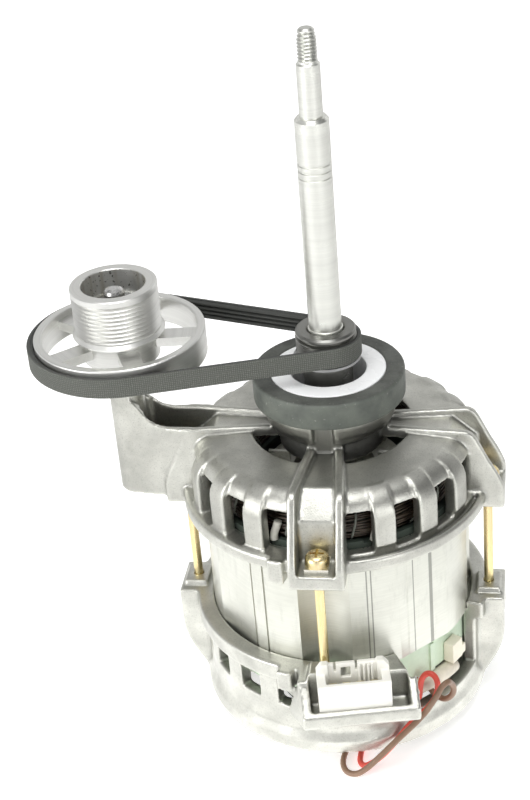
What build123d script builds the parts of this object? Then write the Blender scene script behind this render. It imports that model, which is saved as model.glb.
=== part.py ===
from build123d import *
import os
from math import acos, cos, degrees, pi, radians, sin, tan

# Tumble dryer motor with an idler arm, standing on its lower shield.
# +Z runs up the motor shaft, the idler arm points along -X and the front
# through bolt stands on -Y. The origin is the centre of the lower hub's end face.
os.makedirs("parts", exist_ok=True)

# Heights up the motor
LOWER_RIM_TOP = 46.0
STACK_SHOWN = 44.4
REGISTER_DEPTH = 4.0
SHIELD_DEPTH = 28.6
HUB_RISE = 12.7
RING_HEIGHT = 10.3

UPPER_RIM_BOTTOM = LOWER_RIM_TOP + STACK_SHOWN
STACK_BOTTOM = LOWER_RIM_TOP - REGISTER_DEPTH
STACK_TOP = UPPER_RIM_BOTTOM + REGISTER_DEPTH
DOME_TOP = UPPER_RIM_BOTTOM + SHIELD_DEPTH
HUB_TOP = DOME_TOP + HUB_RISE
RING_TOP = HUB_TOP + RING_HEIGHT

# Clearances
SEAT_GAP = 0.1
RUNNING_GAP = 0.3
SHAFT_GAP = 0.05

# Laminated stator core
CORE_RADIUS = 50.5
CORE_BORE = 27.0
CORE_FLAT = 49.2
SCALLOP_RADIUS = 16.0
SCALLOP_DEPTH = 4.0
SLOT_COUNT = 24
SLOT_WIDTH = 4.2
SLOT_MOUTH = 2.0
SLOT_INNER = 29.5
SLOT_OUTER = 41.0
GROOVE_WIDTH = 0.8
GROOVE_DEPTH = 0.8
GROOVE_ANGLES = (-123.0, -116.5, -54.0, -42.5, -39.5)

# Through bolts on their circle
BOLT_CIRCLE = 57.45
BOLT_RADIUS = 1.75
BOLT_HOLE = 2.2
BOLT_HEAD_RADIUS = 4.4
BOLT_HEAD_HEIGHT = 4.2
PLATE_SIDE = 8.6
PLATE_HEIGHT = 2.0
PHILLIPS_WIDTH = 1.0
PHILLIPS_DEPTH = 1.6

# Upper end shield
RIM_RADIUS = 57.8
RIM_HEIGHT = 4.9
WALL_RADIUS = 52.5
WALL = 3.0
SHOULDER = 8.5
CROWN_FALL = 0.8
OPENING_RADIUS = 30.0
WINDOW_HEIGHT = 16.4
WINDOW_ANGLE = 10.5
WINDOW_PITCH = 19.1
SLAT_PROUD = 2.3
HUB_RADIUS = 25.5
HUB_WAIST_RADIUS = 21.0
HUB_FOOT_RADIUS = 19.6
HUB_BORE = 16.6
RIB_TOP_RISE = 1.5
RIB_FLOOR = 2.6
RIB_HALF_HUB = 6.5
RIB_HALF_LUG = 10.0
FIN = 3.0
LUG_RADIUS = 64.0
LUG_DROP = 2.4
LUG_FLOOR = 5.5
RIM_GROOVE_DEPTH = 2.2
RIM_BLOCK_ANGLE = -105.0
RIM_BLOCK_WIDTH = 6.0

# Idler arm
CENTRE_DISTANCE = 76.8
ARM_BOSS_RADIUS = 6.8
ARM_WALL = 2.8
ARM_FLOOR = 3.0
ARM_END_TOP = 134.0
POST_RADIUS = 6.3

# Lower end shield
LOWER_RIM_RADIUS = 57.2
LOWER_RIM_HEIGHT = 7.0
LOWER_WALL_RADIUS = 54.2
LOWER_WALL = 5.0
SKIRT_RADIUS = 56.0
SKIRT_LIFT = 6.0
FLOOR_LIFT = 10.8
FLOOR_THICK = 3.0
LOWER_WINDOW_BOTTOM = 25.0
LOWER_WINDOW_HEIGHT = 13.0
LOWER_LUG_RADIUS = 63.6
LOWER_LUG_HEIGHT = 8.0
LUG_PAD = 2.0
FOOT_OUTER = 50.0
FOOT_INNER = 42.0
CUTOUT_START = -61.0
CUTOUT_END = -14.0
CUTOUT_BOTTOM = 18.0
HOUSING_RADIUS = 22.0

# Motor bearings, outside and bore radii and width
BEARING_OUTER = 17.5
BEARING_BORE = 7.5
BEARING_WIDTH = 11.0
UPPER_BEARING_Z = HUB_TOP - 18.2
LOWER_BEARING_Z = FLOOR_LIFT + FLOOR_THICK + 1.2

# Rubber rings that the motor hangs in, and their plastic sleeves
RING_RADIUS = 28.1
SLEEVE_RADIUS = 21.3
SLEEVE_BORE = 14.1
SLEEVE_SPIGOT = 4.0
RING_CHAMFER = 0.8

# Rotor and shaft
AIR_GAP = 0.4
ROTOR_RADIUS = CORE_BORE - AIR_GAP
END_RING_HEIGHT = 7.0
END_RING_BORE = 15.0
BLADE_COUNT = 8
SHAFT_SHOULDER = 9.0
SHAFT_RADIUS = 6.0
PULLEY_SEAT_RADIUS = 6.4
PULLEY_SEAT_SHOWN = 0.5
SHAFT_LONG_TOP = RING_TOP + 97.5
FAN_SEAT_RADIUS = 4.1
FAN_SEAT_LENGTH = 18.7
THREAD_RADIUS = 3.45
THREAD_LENGTH = 11.0
MARK_GROOVES = (16.7, 19.1, 21.5)

# Drive belt and the motor pulley
BELT_WIDTH = 7.7
BELT_THICK = 2.4
BELT_BOTTOM = RING_TOP + 6.2
BELT_RIBS = 4
RIB_DEPTH = 1.1
BELT_MOTOR_BACK = 12.8
PULLEY_NECK = 9.0
PULLEY_LIP = 11.1
FLANGE_RADIUS = 12.4
FLANGE_THICK = 1.0

# Idler pulley
WHEEL_RADIUS = 31.9
WHEEL_RIM = 3.2
WHEEL_HEIGHT = 11.0
WHEEL_OVER_BELT = 1.7
SPOKES = 5
SPOKE_WIDTH = 7.5
SPOKE_THICK = 3.6
SPOKE_START = 6.0
IDLER_NECK = 14.3
IDLER_HUB_RADIUS = 16.1
IDLER_FLANGE_RADIUS = 17.2
IDLER_HUB_RISE = 19.2
IDLER_GROOVES = 9
IDLER_GROOVE_PITCH = 1.62
IDLER_GROOVE_DEPTH = 1.1
IDLER_MOUTH = 11.9
IDLER_MOUTH_DEPTH = 9.4
IDLER_BEARING_OUTER = 11.0
IDLER_BEARING_BORE = 5.0
IDLER_BEARING_WIDTH = 6.0
AXLE_FOOT_RADIUS = 4.0
AXLE_GRIP = 30.0
AXLE_TIP_RADIUS = 3.9
POST_UNDER_BELT = 4.7
POST_TOP = BELT_BOTTOM - POST_UNDER_BELT

# Connector on the lower shield
POCKET_ANGLE = -78.5
POCKET_HALF = 21.5
POCKET_BACK = SKIRT_RADIUS + 2.7
POCKET_WALL = 2.4
POCKET_LIP_TOP = 38.0
POCKET_BOTTOM = 31.5
GUSSET_FLARE = 6.0
CONNECTOR_SHIFT = -1.8
CONNECTOR_HALF = 13.3
CONNECTOR_BACK = POCKET_BACK + 0.9
CONNECTOR_DEPTH = 9.7
CONNECTOR_WALL = 1.6
CONNECTOR_FRONT_TOP = 50.0
CONNECTOR_BACK_TOP = 53.6
LATCH_SHIFT = -2.5
LATCH_WIDTH = 3.6
LATCH_HEIGHT = 4.6
CONNECTOR_FLOOR = 2.0
POCKET_RADIUS = CONNECTOR_BACK + CONNECTOR_DEPTH + RUNNING_GAP + POCKET_WALL
TERMINALS = 4
TERMINAL_PITCH = 5.0
TERMINAL_WIDTH = 2.8
TERMINAL_THICK = 0.8

# Winding heads and their green end insulators
INSULATOR_OUTER = 48.6
INSULATOR_WALL = 1.8
INSULATOR_HEIGHT = 13.6
INSULATOR_LOW_WALL = 3.0
INSULATOR_INNER = 28.0
INSULATOR_FLANGE = 1.0
INSULATOR_NOTCHES = 8
INSULATOR_POST_ANGLE = -41.0
INSULATOR_POST_WIDTH = 2.2
HEAD_HEIGHT = 12.0
HEAD_ROUND = 4.0
CLIP_WIDTH = 6.6
CLIP_HEIGHT = 8.6
CLIP_DEPTH = 4.4
CLIP_MIDDLE = STACK_BOTTOM - 9.2
TURN_RADIUS = 1.05
TURN_PITCH = 2.6
TURN_COUNT = 4

# Loose leads: out of the open side of the lower shield, up in a loop, down to
# the table in front and back under the skirt
LEAD_RADIUS = 1.15
LEAD_GAP = 0.4
RED_LEAD = (
    (30.3, -32.3, 28.5), (30.3, -32.7, 24.0), (30.2, -35.0, 20.2), (32.3, -40.3, 20.2),
    (32.8, -40.5, 26.4), (33.5, -40.8, 31.0), (35.6, -40.7, 33.8), (38.2, -41.7, 33.9),
    (39.7, -42.7, 31.4), (39.6, -42.8, 27.2), (38.4, -43.0, 23.2), (35.8, -42.7, 18.6),
    (32.4, -45.5, 16.6), (29.2, -48.9, 15.6), (26.0, -51.4, 12.2), (22.8, -53.9, 9.2),
    (19.3, -56.2, 6.2), (15.5, -57.6, 3.4), (12.3, -57.5, 1.3), (10.2, -55.5, 1.3),
    (10.1, -50.4, 1.3), (10.6, -46.6, 1.3), (11.6, -42.4, 2.4), (12.3, -39.6, 6.4),
    (12.4, -39.2, 11.4))
BROWN_LEAD = (
    (32.4, -30.2, 28.5), (33.2, -31.8, 24.4), (36.4, -35.4, 20.8), (40.6, -38.6, 19.6),
    (43.2, -39.9, 21.0), (45.4, -40.6, 24.4), (45.5, -41.5, 28.4), (44.4, -43.0, 31.6),
    (43.7, -45.4, 33.8), (41.6, -47.6, 33.4), (40.2, -48.0, 30.2), (38.5, -48.0, 26.8),
    (35.5, -48.3, 21.5), (32.3, -51.0, 19.0), (28.9, -53.4, 16.6), (25.2, -55.8, 14.0),
    (21.6, -57.9, 11.0), (17.8, -59.9, 7.8), (14.0, -61.3, 4.2), (9.7, -62.2, 1.3),
    (5.6, -61.1, 1.3), (3.7, -56.3, 1.3), (3.9, -51.4, 1.3), (5.0, -46.6, 1.3),
    (6.0, -41.6, 2.4), (6.4, -38.7, 6.6), (6.5, -38.3, 11.5))

QUADRANTS = (0.0, 90.0, 180.0, 270.0)


def radial_plane(angle):
    """Upright plane through the shaft: x runs outwards at the angle, y runs up."""
    a = radians(angle)
    return Plane(origin=(0, 0, 0), x_dir=(cos(a), sin(a), 0), z_dir=(sin(a), -cos(a), 0))


def outward_plane(angle, distance):
    """Upright plane facing outwards at the angle: x runs along it, y runs up."""
    a = radians(angle)
    origin = (distance * cos(a), distance * sin(a), 0)
    return Plane(origin=origin, x_dir=(-sin(a), cos(a), 0), z_dir=(cos(a), sin(a), 0))


def save(piece, name):
    """Label a finished piece and write it."""
    piece.part.label = name
    export_step(piece.part, f"parts/{name}.step")


def window_angles(quadrant):
    """Four window centres in a quadrant that starts at the given angle."""
    return [quadrant + 45 + WINDOW_PITCH * (k - 1.5) for k in range(4)]


# Upper end shield
rim_top = UPPER_RIM_BOTTOM + RIM_HEIGHT
shoulder_z = DOME_TOP - CROWN_FALL - SHOULDER
shoulder_r = WALL_RADIUS - SHOULDER
register_radius = CORE_RADIUS + SEAT_GAP
rib_top = DOME_TOP + RIB_TOP_RISE
lug_bottom = UPPER_RIM_BOTTOM - LUG_DROP
lug_floor_top = lug_bottom + LUG_FLOOR
lug_inner = register_radius + 0.6
bearing_seat_top = UPPER_BEARING_Z + BEARING_WIDTH
rib_root = HUB_FOOT_RADIUS - 0.7
channel_start = HUB_WAIST_RADIUS + 0.6
channel_end = LUG_RADIUS + 6

with BuildPart() as rib:
    with BuildSketch(Plane.XY):
        Polygon(
            (rib_root, RIB_HALF_HUB), (WALL_RADIUS - 2, RIB_HALF_LUG),
            (LUG_RADIUS, RIB_HALF_LUG), (LUG_RADIUS, -RIB_HALF_LUG),
            (WALL_RADIUS - 2, -RIB_HALF_LUG), (rib_root, -RIB_HALF_HUB), align=None)
    extrude(amount=RING_TOP)
    with BuildSketch(Plane.XZ):
        with BuildLine():
            fall = Polyline((LUG_RADIUS, lug_bottom + 8), (LUG_RADIUS, lug_bottom),
                            (lug_inner, lug_bottom), (lug_inner, shoulder_z))
            Polyline(fall @ 1, (shoulder_r + 5, shoulder_z + 5), (shoulder_r, shoulder_z + 7),
                     (OPENING_RADIUS, DOME_TOP - RIB_FLOOR), (rib_root, DOME_TOP - RIB_FLOOR),
                     (rib_root, HUB_TOP - 2), (channel_start, HUB_TOP - 2), (channel_start, rib_top),
                     (WALL_RADIUS - 3.5, rib_top))
            Spline((WALL_RADIUS - 3.5, rib_top), (WALL_RADIUS + 1.8, rib_top - 4),
                   (LUG_RADIUS - 5, DOME_TOP - 12), (LUG_RADIUS, lug_bottom + 8),
                   tangents=[(1, 0), (0.3, -1)])
        make_face()
    extrude(amount=2 * RIB_HALF_LUG, both=True, mode=Mode.INTERSECT)

with BuildPart() as rib_channel:
    with BuildSketch(Plane.XY):
        Polygon(
            (channel_start, RIB_HALF_HUB - FIN), (WALL_RADIUS - 2, RIB_HALF_LUG - FIN),
            (channel_end, RIB_HALF_LUG - FIN), (channel_end, FIN - RIB_HALF_LUG),
            (WALL_RADIUS - 2, FIN - RIB_HALF_LUG), (channel_start, FIN - RIB_HALF_HUB), align=None)
    extrude(amount=RING_TOP)
    with BuildSketch(Plane.XZ):
        Polygon(
            (channel_start, DOME_TOP - 0.6), (shoulder_r, DOME_TOP - 0.9),
            (WALL_RADIUS + 0.5, shoulder_z), (WALL_RADIUS + 0.5, lug_floor_top),
            (channel_end, lug_floor_top), (channel_end, HUB_TOP), (channel_start, HUB_TOP), align=None)
    extrude(amount=2 * RIB_HALF_LUG, both=True, mode=Mode.INTERSECT)

arm_root = -(lug_inner + 0.2)
arm_bottom = UPPER_RIM_BOTTOM - 0.4
arm_rise = 4 - LUG_RADIUS

with BuildPart() as arm:
    with BuildSketch(Plane.XY):
        with Locations((-CENTRE_DISTANCE, 0)):
            Circle(ARM_BOSS_RADIUS)
        with Locations((arm_root - 1, 0)):
            Rectangle(2, 2 * RIB_HALF_LUG)
        make_hull()
    extrude(amount=RING_TOP)
    with BuildSketch(Plane.XZ):
        with BuildLine():
            Polyline((arm_rise, rib_top), (0, rib_top), (0, arm_bottom),
                     (-CENTRE_DISTANCE - ARM_BOSS_RADIUS, arm_bottom),
                     (-CENTRE_DISTANCE - ARM_BOSS_RADIUS, ARM_END_TOP), (-CENTRE_DISTANCE, ARM_END_TOP))
            Spline((-CENTRE_DISTANCE, ARM_END_TOP),
                   (ARM_BOSS_RADIUS - CENTRE_DISTANCE, (2 * rib_top + ARM_END_TOP) / 3 + 0.5),
                   (arm_rise, rib_top), tangents=[(1, -1.2), (1, 0)])
        make_face()
    extrude(amount=2 * RIB_HALF_LUG, both=True, mode=Mode.INTERSECT)
    with BuildSketch(Plane.XY.offset(arm_bottom + ARM_FLOOR)):
        with Locations((-CENTRE_DISTANCE, 0)):
            Circle(ARM_BOSS_RADIUS - ARM_WALL)
        with Locations((-WALL_RADIUS - 1.5, 0)):
            Rectangle(2, 2 * (RIB_HALF_LUG - FIN))
        make_hull()
    extrude(amount=RING_TOP, mode=Mode.SUBTRACT)
    with BuildSketch(Plane.XY.offset(arm_bottom)):
        with Locations((-CENTRE_DISTANCE, 0)):
            Circle(POST_RADIUS)
    extrude(amount=POST_TOP - arm_bottom)

with BuildPart() as upper_shield:
    with BuildSketch(Plane.XZ):
        with BuildLine():
            Polyline((register_radius, UPPER_RIM_BOTTOM), (RIM_RADIUS, UPPER_RIM_BOTTOM),
                     (RIM_RADIUS, rim_top - 1), (RIM_RADIUS - 1, rim_top), (WALL_RADIUS, rim_top),
                     (WALL_RADIUS, shoulder_z))
            CenterArc((shoulder_r, shoulder_z), SHOULDER, 0, 90)
            Polyline((shoulder_r, DOME_TOP - CROWN_FALL), (OPENING_RADIUS, DOME_TOP),
                     (OPENING_RADIUS, DOME_TOP - WALL), (shoulder_r, DOME_TOP - CROWN_FALL - WALL))
            CenterArc((shoulder_r, shoulder_z), SHOULDER - WALL, 0, 90)
            Polyline((WALL_RADIUS - WALL, shoulder_z), (WALL_RADIUS - WALL, STACK_TOP),
                     (register_radius, STACK_TOP), (register_radius, UPPER_RIM_BOTTOM))
        make_face()
    revolve(axis=Axis.Z)
    # slats between the windows stand proud and run over the shoulder
    slat_angle = WINDOW_PITCH - WINDOW_ANGLE
    slat_round = SHOULDER + SLAT_PROUD
    for quadrant in QUADRANTS:
        for k in (-1, 0, 1):
            centre = quadrant + 45 + k * WINDOW_PITCH
            with BuildSketch(radial_plane(centre - slat_angle / 2)):
                with BuildLine():
                    Polyline((WALL_RADIUS + SLAT_PROUD, shoulder_z - 2),
                             (WALL_RADIUS + SLAT_PROUD, rim_top - 1),
                             (WALL_RADIUS - 1.5, rim_top - 1), (WALL_RADIUS - 1.5, shoulder_z),
                             (shoulder_r + 5, shoulder_z + 5), (shoulder_r + 0.5, shoulder_z + 7))
                    tip = CenterArc((shoulder_r, shoulder_z - 2), slat_round, 0, 82)
                    Line(tip @ 1, (shoulder_r + 0.5, shoulder_z + 7))
                make_face()
            revolve(axis=Axis.Z, revolution_arc=slat_angle)
    # hub that holds the upper bearing
    with BuildSketch(Plane.XZ):
        Polygon(
            (HUB_BORE, HUB_TOP), (HUB_RADIUS, HUB_TOP), (HUB_RADIUS, HUB_TOP - 2),
            (HUB_RADIUS - 1, HUB_TOP - 6), (HUB_RADIUS - 2.5, DOME_TOP + 3.8),
            (HUB_WAIST_RADIUS, DOME_TOP + 2.4), (HUB_FOOT_RADIUS, DOME_TOP + 2),
            (HUB_FOOT_RADIUS, UPPER_BEARING_Z - 1),
            (BEARING_OUTER + SEAT_GAP, UPPER_BEARING_Z - 1), (BEARING_OUTER + SEAT_GAP, bearing_seat_top),
            (HUB_BORE, bearing_seat_top), align=None)
    revolve(axis=Axis.Z)
    # rim: raised band and stop block on the left front, groove on the right front
    with BuildSketch(radial_plane(-168)):
        Polygon(
            (WALL_RADIUS - 1, rim_top - 1), (RIM_RADIUS, UPPER_RIM_BOTTOM + 2.4),
            (WALL_RADIUS + 0.6, rim_top + 1.2), (WALL_RADIUS - 1, rim_top + 1.2), align=None)
    revolve(axis=Axis.Z, revolution_arc=60)
    with BuildSketch(outward_plane(RIM_BLOCK_ANGLE, WALL_RADIUS - 1)):
        with Locations((0, UPPER_RIM_BOTTOM + 0.6)):
            Rectangle(RIM_BLOCK_WIDTH, 9.6)
    extrude(amount=8.6)
    with BuildSketch(radial_plane(-78)):
        with Locations((WALL_RADIUS + 2.2, rim_top)):
            Rectangle(2.0, 2 * RIM_GROOVE_DEPTH)
    revolve(axis=Axis.Z, revolution_arc=66, mode=Mode.SUBTRACT)
    # windows
    for quadrant in QUADRANTS:
        for centre in window_angles(quadrant):
            with BuildSketch(radial_plane(centre - WINDOW_ANGLE / 2)):
                with Locations((WALL_RADIUS, rim_top + WINDOW_HEIGHT / 2)):
                    Rectangle(12, WINDOW_HEIGHT)
            revolve(axis=Axis.Z, revolution_arc=WINDOW_ANGLE, mode=Mode.SUBTRACT)
    # four ribs with their bolt lugs, and the idler arm on the left one
    add(arm.part)
    for quadrant in QUADRANTS:
        add(rib.part.rotate(Axis.Z, quadrant))
    for quadrant in QUADRANTS:
        add(rib_channel.part.rotate(Axis.Z, quadrant), mode=Mode.SUBTRACT)
    with PolarLocations(BOLT_CIRCLE, 4):
        with Locations((0, 0, arm_bottom - 5)):
            Cylinder(BOLT_HOLE, 20, align=(Align.CENTER, Align.CENTER, Align.MIN), mode=Mode.SUBTRACT)
    with Locations((-CENTRE_DISTANCE, 0, POST_TOP)):
        Cylinder(AXLE_FOOT_RADIUS + SHAFT_GAP, AXLE_GRIP, align=(Align.CENTER, Align.CENTER, Align.MAX),
                 mode=Mode.SUBTRACT)
save(upper_shield, "upper_shield")

# Lower end shield
lower_rim_bottom = LOWER_RIM_TOP - LOWER_RIM_HEIGHT
lower_wall_inner = LOWER_WALL_RADIUS - LOWER_WALL
floor_top = FLOOR_LIFT + FLOOR_THICK
housing_top = LOWER_BEARING_Z + BEARING_WIDTH
lower_lug_bottom = LOWER_RIM_TOP - LOWER_LUG_HEIGHT
foot_bend = FOOT_OUTER + 7

with BuildPart() as lower_rib:
    with BuildSketch(Plane.XZ):
        with BuildLine():
            side = Line((LOWER_LUG_RADIUS, LOWER_RIM_TOP), (LOWER_LUG_RADIUS, lower_lug_bottom - 6))
            sweep_in = Spline(side @ 1, (foot_bend, 12), (FOOT_OUTER, 0), tangents=[(0, -1), (-0.7, -1)])
            Polyline(sweep_in @ 1, (FOOT_INNER, 0), (FOOT_INNER, floor_top - 1), (lug_inner, floor_top - 1),
                     (lug_inner, LOWER_RIM_TOP), side @ 0)
        make_face()
    extrude(amount=RIB_HALF_LUG, both=True)
    with BuildSketch(Plane.XZ):
        Polygon((LUG_RADIUS + 3, lower_lug_bottom), (LOWER_WALL_RADIUS, lower_lug_bottom),
                (LOWER_WALL_RADIUS, 12), (FOOT_OUTER + 1, 7), (FOOT_OUTER + 1, -3), (LUG_RADIUS + 3, -3),
                align=None)
    extrude(amount=RIB_HALF_LUG - FIN, both=True, mode=Mode.SUBTRACT)

# the front lug has no foot under it: the leads pass there
with BuildPart() as front_lug:
    add(lower_rib.part.rotate(Axis.Z, QUADRANTS[3]))
    split(bisect_by=Plane.XY.offset(POCKET_BOTTOM - 3), keep=Keep.TOP)

with BuildPart() as lower_shield:
    with BuildSketch(Plane.XZ):
        Polygon((register_radius, LOWER_RIM_TOP), (LOWER_RIM_RADIUS, LOWER_RIM_TOP),
                (LOWER_RIM_RADIUS, lower_rim_bottom), (LOWER_WALL_RADIUS, lower_rim_bottom - 1),
                (LOWER_WALL_RADIUS, floor_top + 1), (SKIRT_RADIUS, floor_top - 3),
                (SKIRT_RADIUS, SKIRT_LIFT), (SKIRT_RADIUS - WALL, SKIRT_LIFT),
                (SKIRT_RADIUS - WALL - 2, FLOOR_LIFT), (SLEEVE_BORE, FLOOR_LIFT), (SLEEVE_BORE, 0),
                (0, 0), (0, FLOOR_LIFT + 0.8), (BEARING_BORE + 3, FLOOR_LIFT + 0.8),
                (BEARING_BORE + 3, floor_top), (BEARING_OUTER + SEAT_GAP, floor_top),
                (BEARING_OUTER + SEAT_GAP, housing_top), (HOUSING_RADIUS, housing_top),
                (HOUSING_RADIUS + 1, floor_top), (lower_wall_inner, floor_top),
                (lower_wall_inner, STACK_BOTTOM), (register_radius, STACK_BOTTOM), align=None)
    revolve(axis=Axis.Z)
    for quadrant in QUADRANTS[:3]:
        add(lower_rib.part.rotate(Axis.Z, quadrant))
    add(front_lug.part)
    # raised pads round the bolt holes
    for quadrant in QUADRANTS:
        with BuildSketch(outward_plane(quadrant, BOLT_CIRCLE - 4.6)):
            with Locations((0, LOWER_RIM_TOP + LUG_PAD / 2 - 0.5)):
                RectangleRounded(12.5, LUG_PAD + 1, 0.6)
        extrude(amount=9.4)
    # connector pocket
    with BuildSketch(radial_plane(POCKET_ANGLE)):
        Polygon((lug_inner, LOWER_RIM_TOP), (LOWER_RIM_RADIUS + 1, LOWER_RIM_TOP),
                (POCKET_RADIUS, POCKET_LIP_TOP), (POCKET_RADIUS, POCKET_BOTTOM + 2),
                (POCKET_RADIUS - 2, POCKET_BOTTOM), (lug_inner, POCKET_BOTTOM - 7), align=None)
    extrude(amount=POCKET_HALF, both=True)
    with BuildSketch(radial_plane(POCKET_ANGLE)):
        Polygon((POCKET_BACK, LOWER_RIM_TOP + 9), (POCKET_RADIUS - POCKET_WALL, LOWER_RIM_TOP + 9),
                (POCKET_RADIUS - POCKET_WALL, POCKET_BOTTOM + POCKET_WALL),
                (POCKET_BACK, POCKET_BOTTOM + POCKET_WALL), align=None)
    extrude(amount=POCKET_HALF - POCKET_WALL - 1, both=True, mode=Mode.SUBTRACT)
    # slanted gusset from the pocket's left end down to the wall
    with BuildSketch(radial_plane(POCKET_ANGLE).offset(POCKET_HALF - 1)):
        Polygon((POCKET_RADIUS - 0.5, POCKET_BOTTOM + 1), (POCKET_RADIUS - 0.5, POCKET_LIP_TOP - 0.5),
                (LOWER_RIM_RADIUS + 1, LOWER_RIM_TOP - 0.5), (SKIRT_RADIUS - 8, POCKET_BOTTOM - 7),
                        align=None)
    with BuildSketch(radial_plane(POCKET_ANGLE).offset(POCKET_HALF + GUSSET_FLARE)):
        Polygon((SKIRT_RADIUS - 5, POCKET_BOTTOM - 6), (SKIRT_RADIUS - 5, POCKET_BOTTOM - 4),
                (SKIRT_RADIUS - 7, POCKET_BOTTOM - 1), (SKIRT_RADIUS - 8, POCKET_BOTTOM - 7), align=None)
    loft(ruled=True)
    # stop block under the rim, left of the pocket
    with BuildSketch(outward_plane(RIM_BLOCK_ANGLE, WALL_RADIUS)):
        with Locations((0, LOWER_RIM_TOP - 5.5)):
            Rectangle(RIM_BLOCK_WIDTH, 11)
    extrude(amount=8.2)
    # windows in the three closed quadrants
    for quadrant in QUADRANTS[:3]:
        for centre in window_angles(quadrant):
            with BuildSketch(radial_plane(centre - WINDOW_ANGLE / 2)):
                with Locations((LOWER_WALL_RADIUS, LOWER_WINDOW_BOTTOM + LOWER_WINDOW_HEIGHT / 2)):
                    Rectangle(13, LOWER_WINDOW_HEIGHT)
            revolve(axis=Axis.Z, revolution_arc=WINDOW_ANGLE, mode=Mode.SUBTRACT)
    # open side where the leads come out
    with BuildSketch(radial_plane(CUTOUT_START)):
        Polygon((lower_wall_inner - 3, CUTOUT_BOTTOM), (LUG_RADIUS, CUTOUT_BOTTOM),
                (LUG_RADIUS, LOWER_RIM_TOP + 1), (lower_wall_inner - 3, LOWER_RIM_TOP + 1), align=None)
    revolve(axis=Axis.Z, revolution_arc=CUTOUT_END - CUTOUT_START, mode=Mode.SUBTRACT)
    # air slots in the floor, between the feet
    for quadrant in QUADRANTS:
        with BuildSketch(Plane.XY.offset(FLOOR_LIFT - 1)):
            with PolarLocations((lower_wall_inner + RING_RADIUS) / 2 + 1, 1, start_angle=quadrant + 45):
                SlotCenterPoint((0, 0), (0, 9), 11)
        extrude(amount=FLOOR_THICK + 2, mode=Mode.SUBTRACT)
    with PolarLocations(BOLT_CIRCLE, 4):
        with Locations((0, 0, lower_lug_bottom - 3)):
            Cylinder(BOLT_RADIUS + SEAT_GAP, 20, align=(Align.CENTER, Align.CENTER, Align.MIN),
                     mode=Mode.SUBTRACT)
    # holes that the two leads go back up through
    for lead_end in (RED_LEAD[-1], BROWN_LEAD[-1]):
        with Locations((lead_end[0], lead_end[1], FLOOR_LIFT)):
            Cylinder(LEAD_RADIUS + LEAD_GAP, 3 * FLOOR_THICK, mode=Mode.SUBTRACT)
save(lower_shield, "lower_shield")

# Laminated core
scallop_centre = CORE_RADIUS - SCALLOP_DEPTH + SCALLOP_RADIUS

with BuildPart() as stator_core:
    with BuildSketch(Plane.XY.offset(STACK_BOTTOM)):
        Circle(CORE_RADIUS)
        with PolarLocations(scallop_centre, 4):
            Circle(SCALLOP_RADIUS, mode=Mode.SUBTRACT)
        with PolarLocations(CORE_FLAT + 5, 4, start_angle=45):
            Rectangle(10, 40, mode=Mode.SUBTRACT)
        Circle(CORE_BORE, mode=Mode.SUBTRACT)
        with PolarLocations(0, SLOT_COUNT, start_angle=180 / SLOT_COUNT):
            with Locations(((SLOT_INNER + SLOT_OUTER) / 2, 0)):
                Rectangle(SLOT_OUTER - SLOT_INNER, SLOT_WIDTH, mode=Mode.SUBTRACT)
            with Locations((SLOT_INNER - 1.5, 0)):
                Rectangle(6, SLOT_MOUTH, mode=Mode.SUBTRACT)
        for angle in GROOVE_ANGLES:
            with PolarLocations(CORE_RADIUS, 2, start_angle=angle):
                Rectangle(2 * GROOVE_DEPTH, GROOVE_WIDTH, mode=Mode.SUBTRACT)
    extrude(amount=STACK_TOP - STACK_BOTTOM)
save(stator_core, "stator_core")

# End insulators: a flange on the core with an inner and a notched outer wall
insulators = (("upper_insulator", STACK_TOP, INSULATOR_LOW_WALL),
              ("lower_insulator", STACK_BOTTOM, -INSULATOR_HEIGHT))
for name, face_z, wall in insulators:
    way = 1 if wall > 0 else -1
    outer_tip = face_z + wall
    inner_tip = face_z + way * (INSULATOR_HEIGHT - 5)
    flange_z = face_z + way * INSULATOR_FLANGE
    with BuildPart() as insulator:
        with BuildSketch(Plane.XZ):
            Polygon((INSULATOR_INNER, face_z), (INSULATOR_OUTER, face_z), (INSULATOR_OUTER, outer_tip),
                    (INSULATOR_OUTER - INSULATOR_WALL, outer_tip),
                    (INSULATOR_OUTER - INSULATOR_WALL, flange_z),
                    (INSULATOR_INNER + INSULATOR_WALL, flange_z),
                    (INSULATOR_INNER + INSULATOR_WALL, inner_tip), (INSULATOR_INNER, inner_tip), align=None)
        revolve(axis=Axis.Z)
        with PolarLocations(INSULATOR_OUTER, INSULATOR_NOTCHES, start_angle=180 / INSULATOR_NOTCHES):
            with Locations((0, 0, outer_tip)):
                Box(8, 7, abs(wall) * 0.66, mode=Mode.SUBTRACT)
        # post that the leads pass, in the open side of the lower shield
        if way < 0:
            with BuildSketch(outward_plane(INSULATOR_POST_ANGLE, INSULATOR_OUTER - INSULATOR_WALL / 2)):
                with Locations((0, (flange_z + outer_tip) / 2)):
                    Rectangle(INSULATOR_POST_WIDTH, abs(outer_tip - flange_z))
            extrude(amount=INSULATOR_WALL)
    save(insulator, name)

# Winding heads between the insulator walls
head_inner = INSULATOR_INNER + INSULATOR_WALL + SEAT_GAP
head_outer = INSULATOR_OUTER - INSULATOR_WALL - SEAT_GAP
for name, face_z, way in (("upper_winding", STACK_TOP, 1), ("lower_winding", STACK_BOTTOM, -1)):
    head_foot = face_z + way * (INSULATOR_FLANGE + SEAT_GAP)
    with BuildPart() as winding:
        with BuildSketch(Plane.XZ):
            with Locations(((head_inner + head_outer) / 2, head_foot + way * HEAD_HEIGHT / 2)):
                RectangleRounded(head_outer - head_inner, HEAD_HEIGHT, HEAD_ROUND)
        revolve(axis=Axis.Z)
    save(winding, name)

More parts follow.
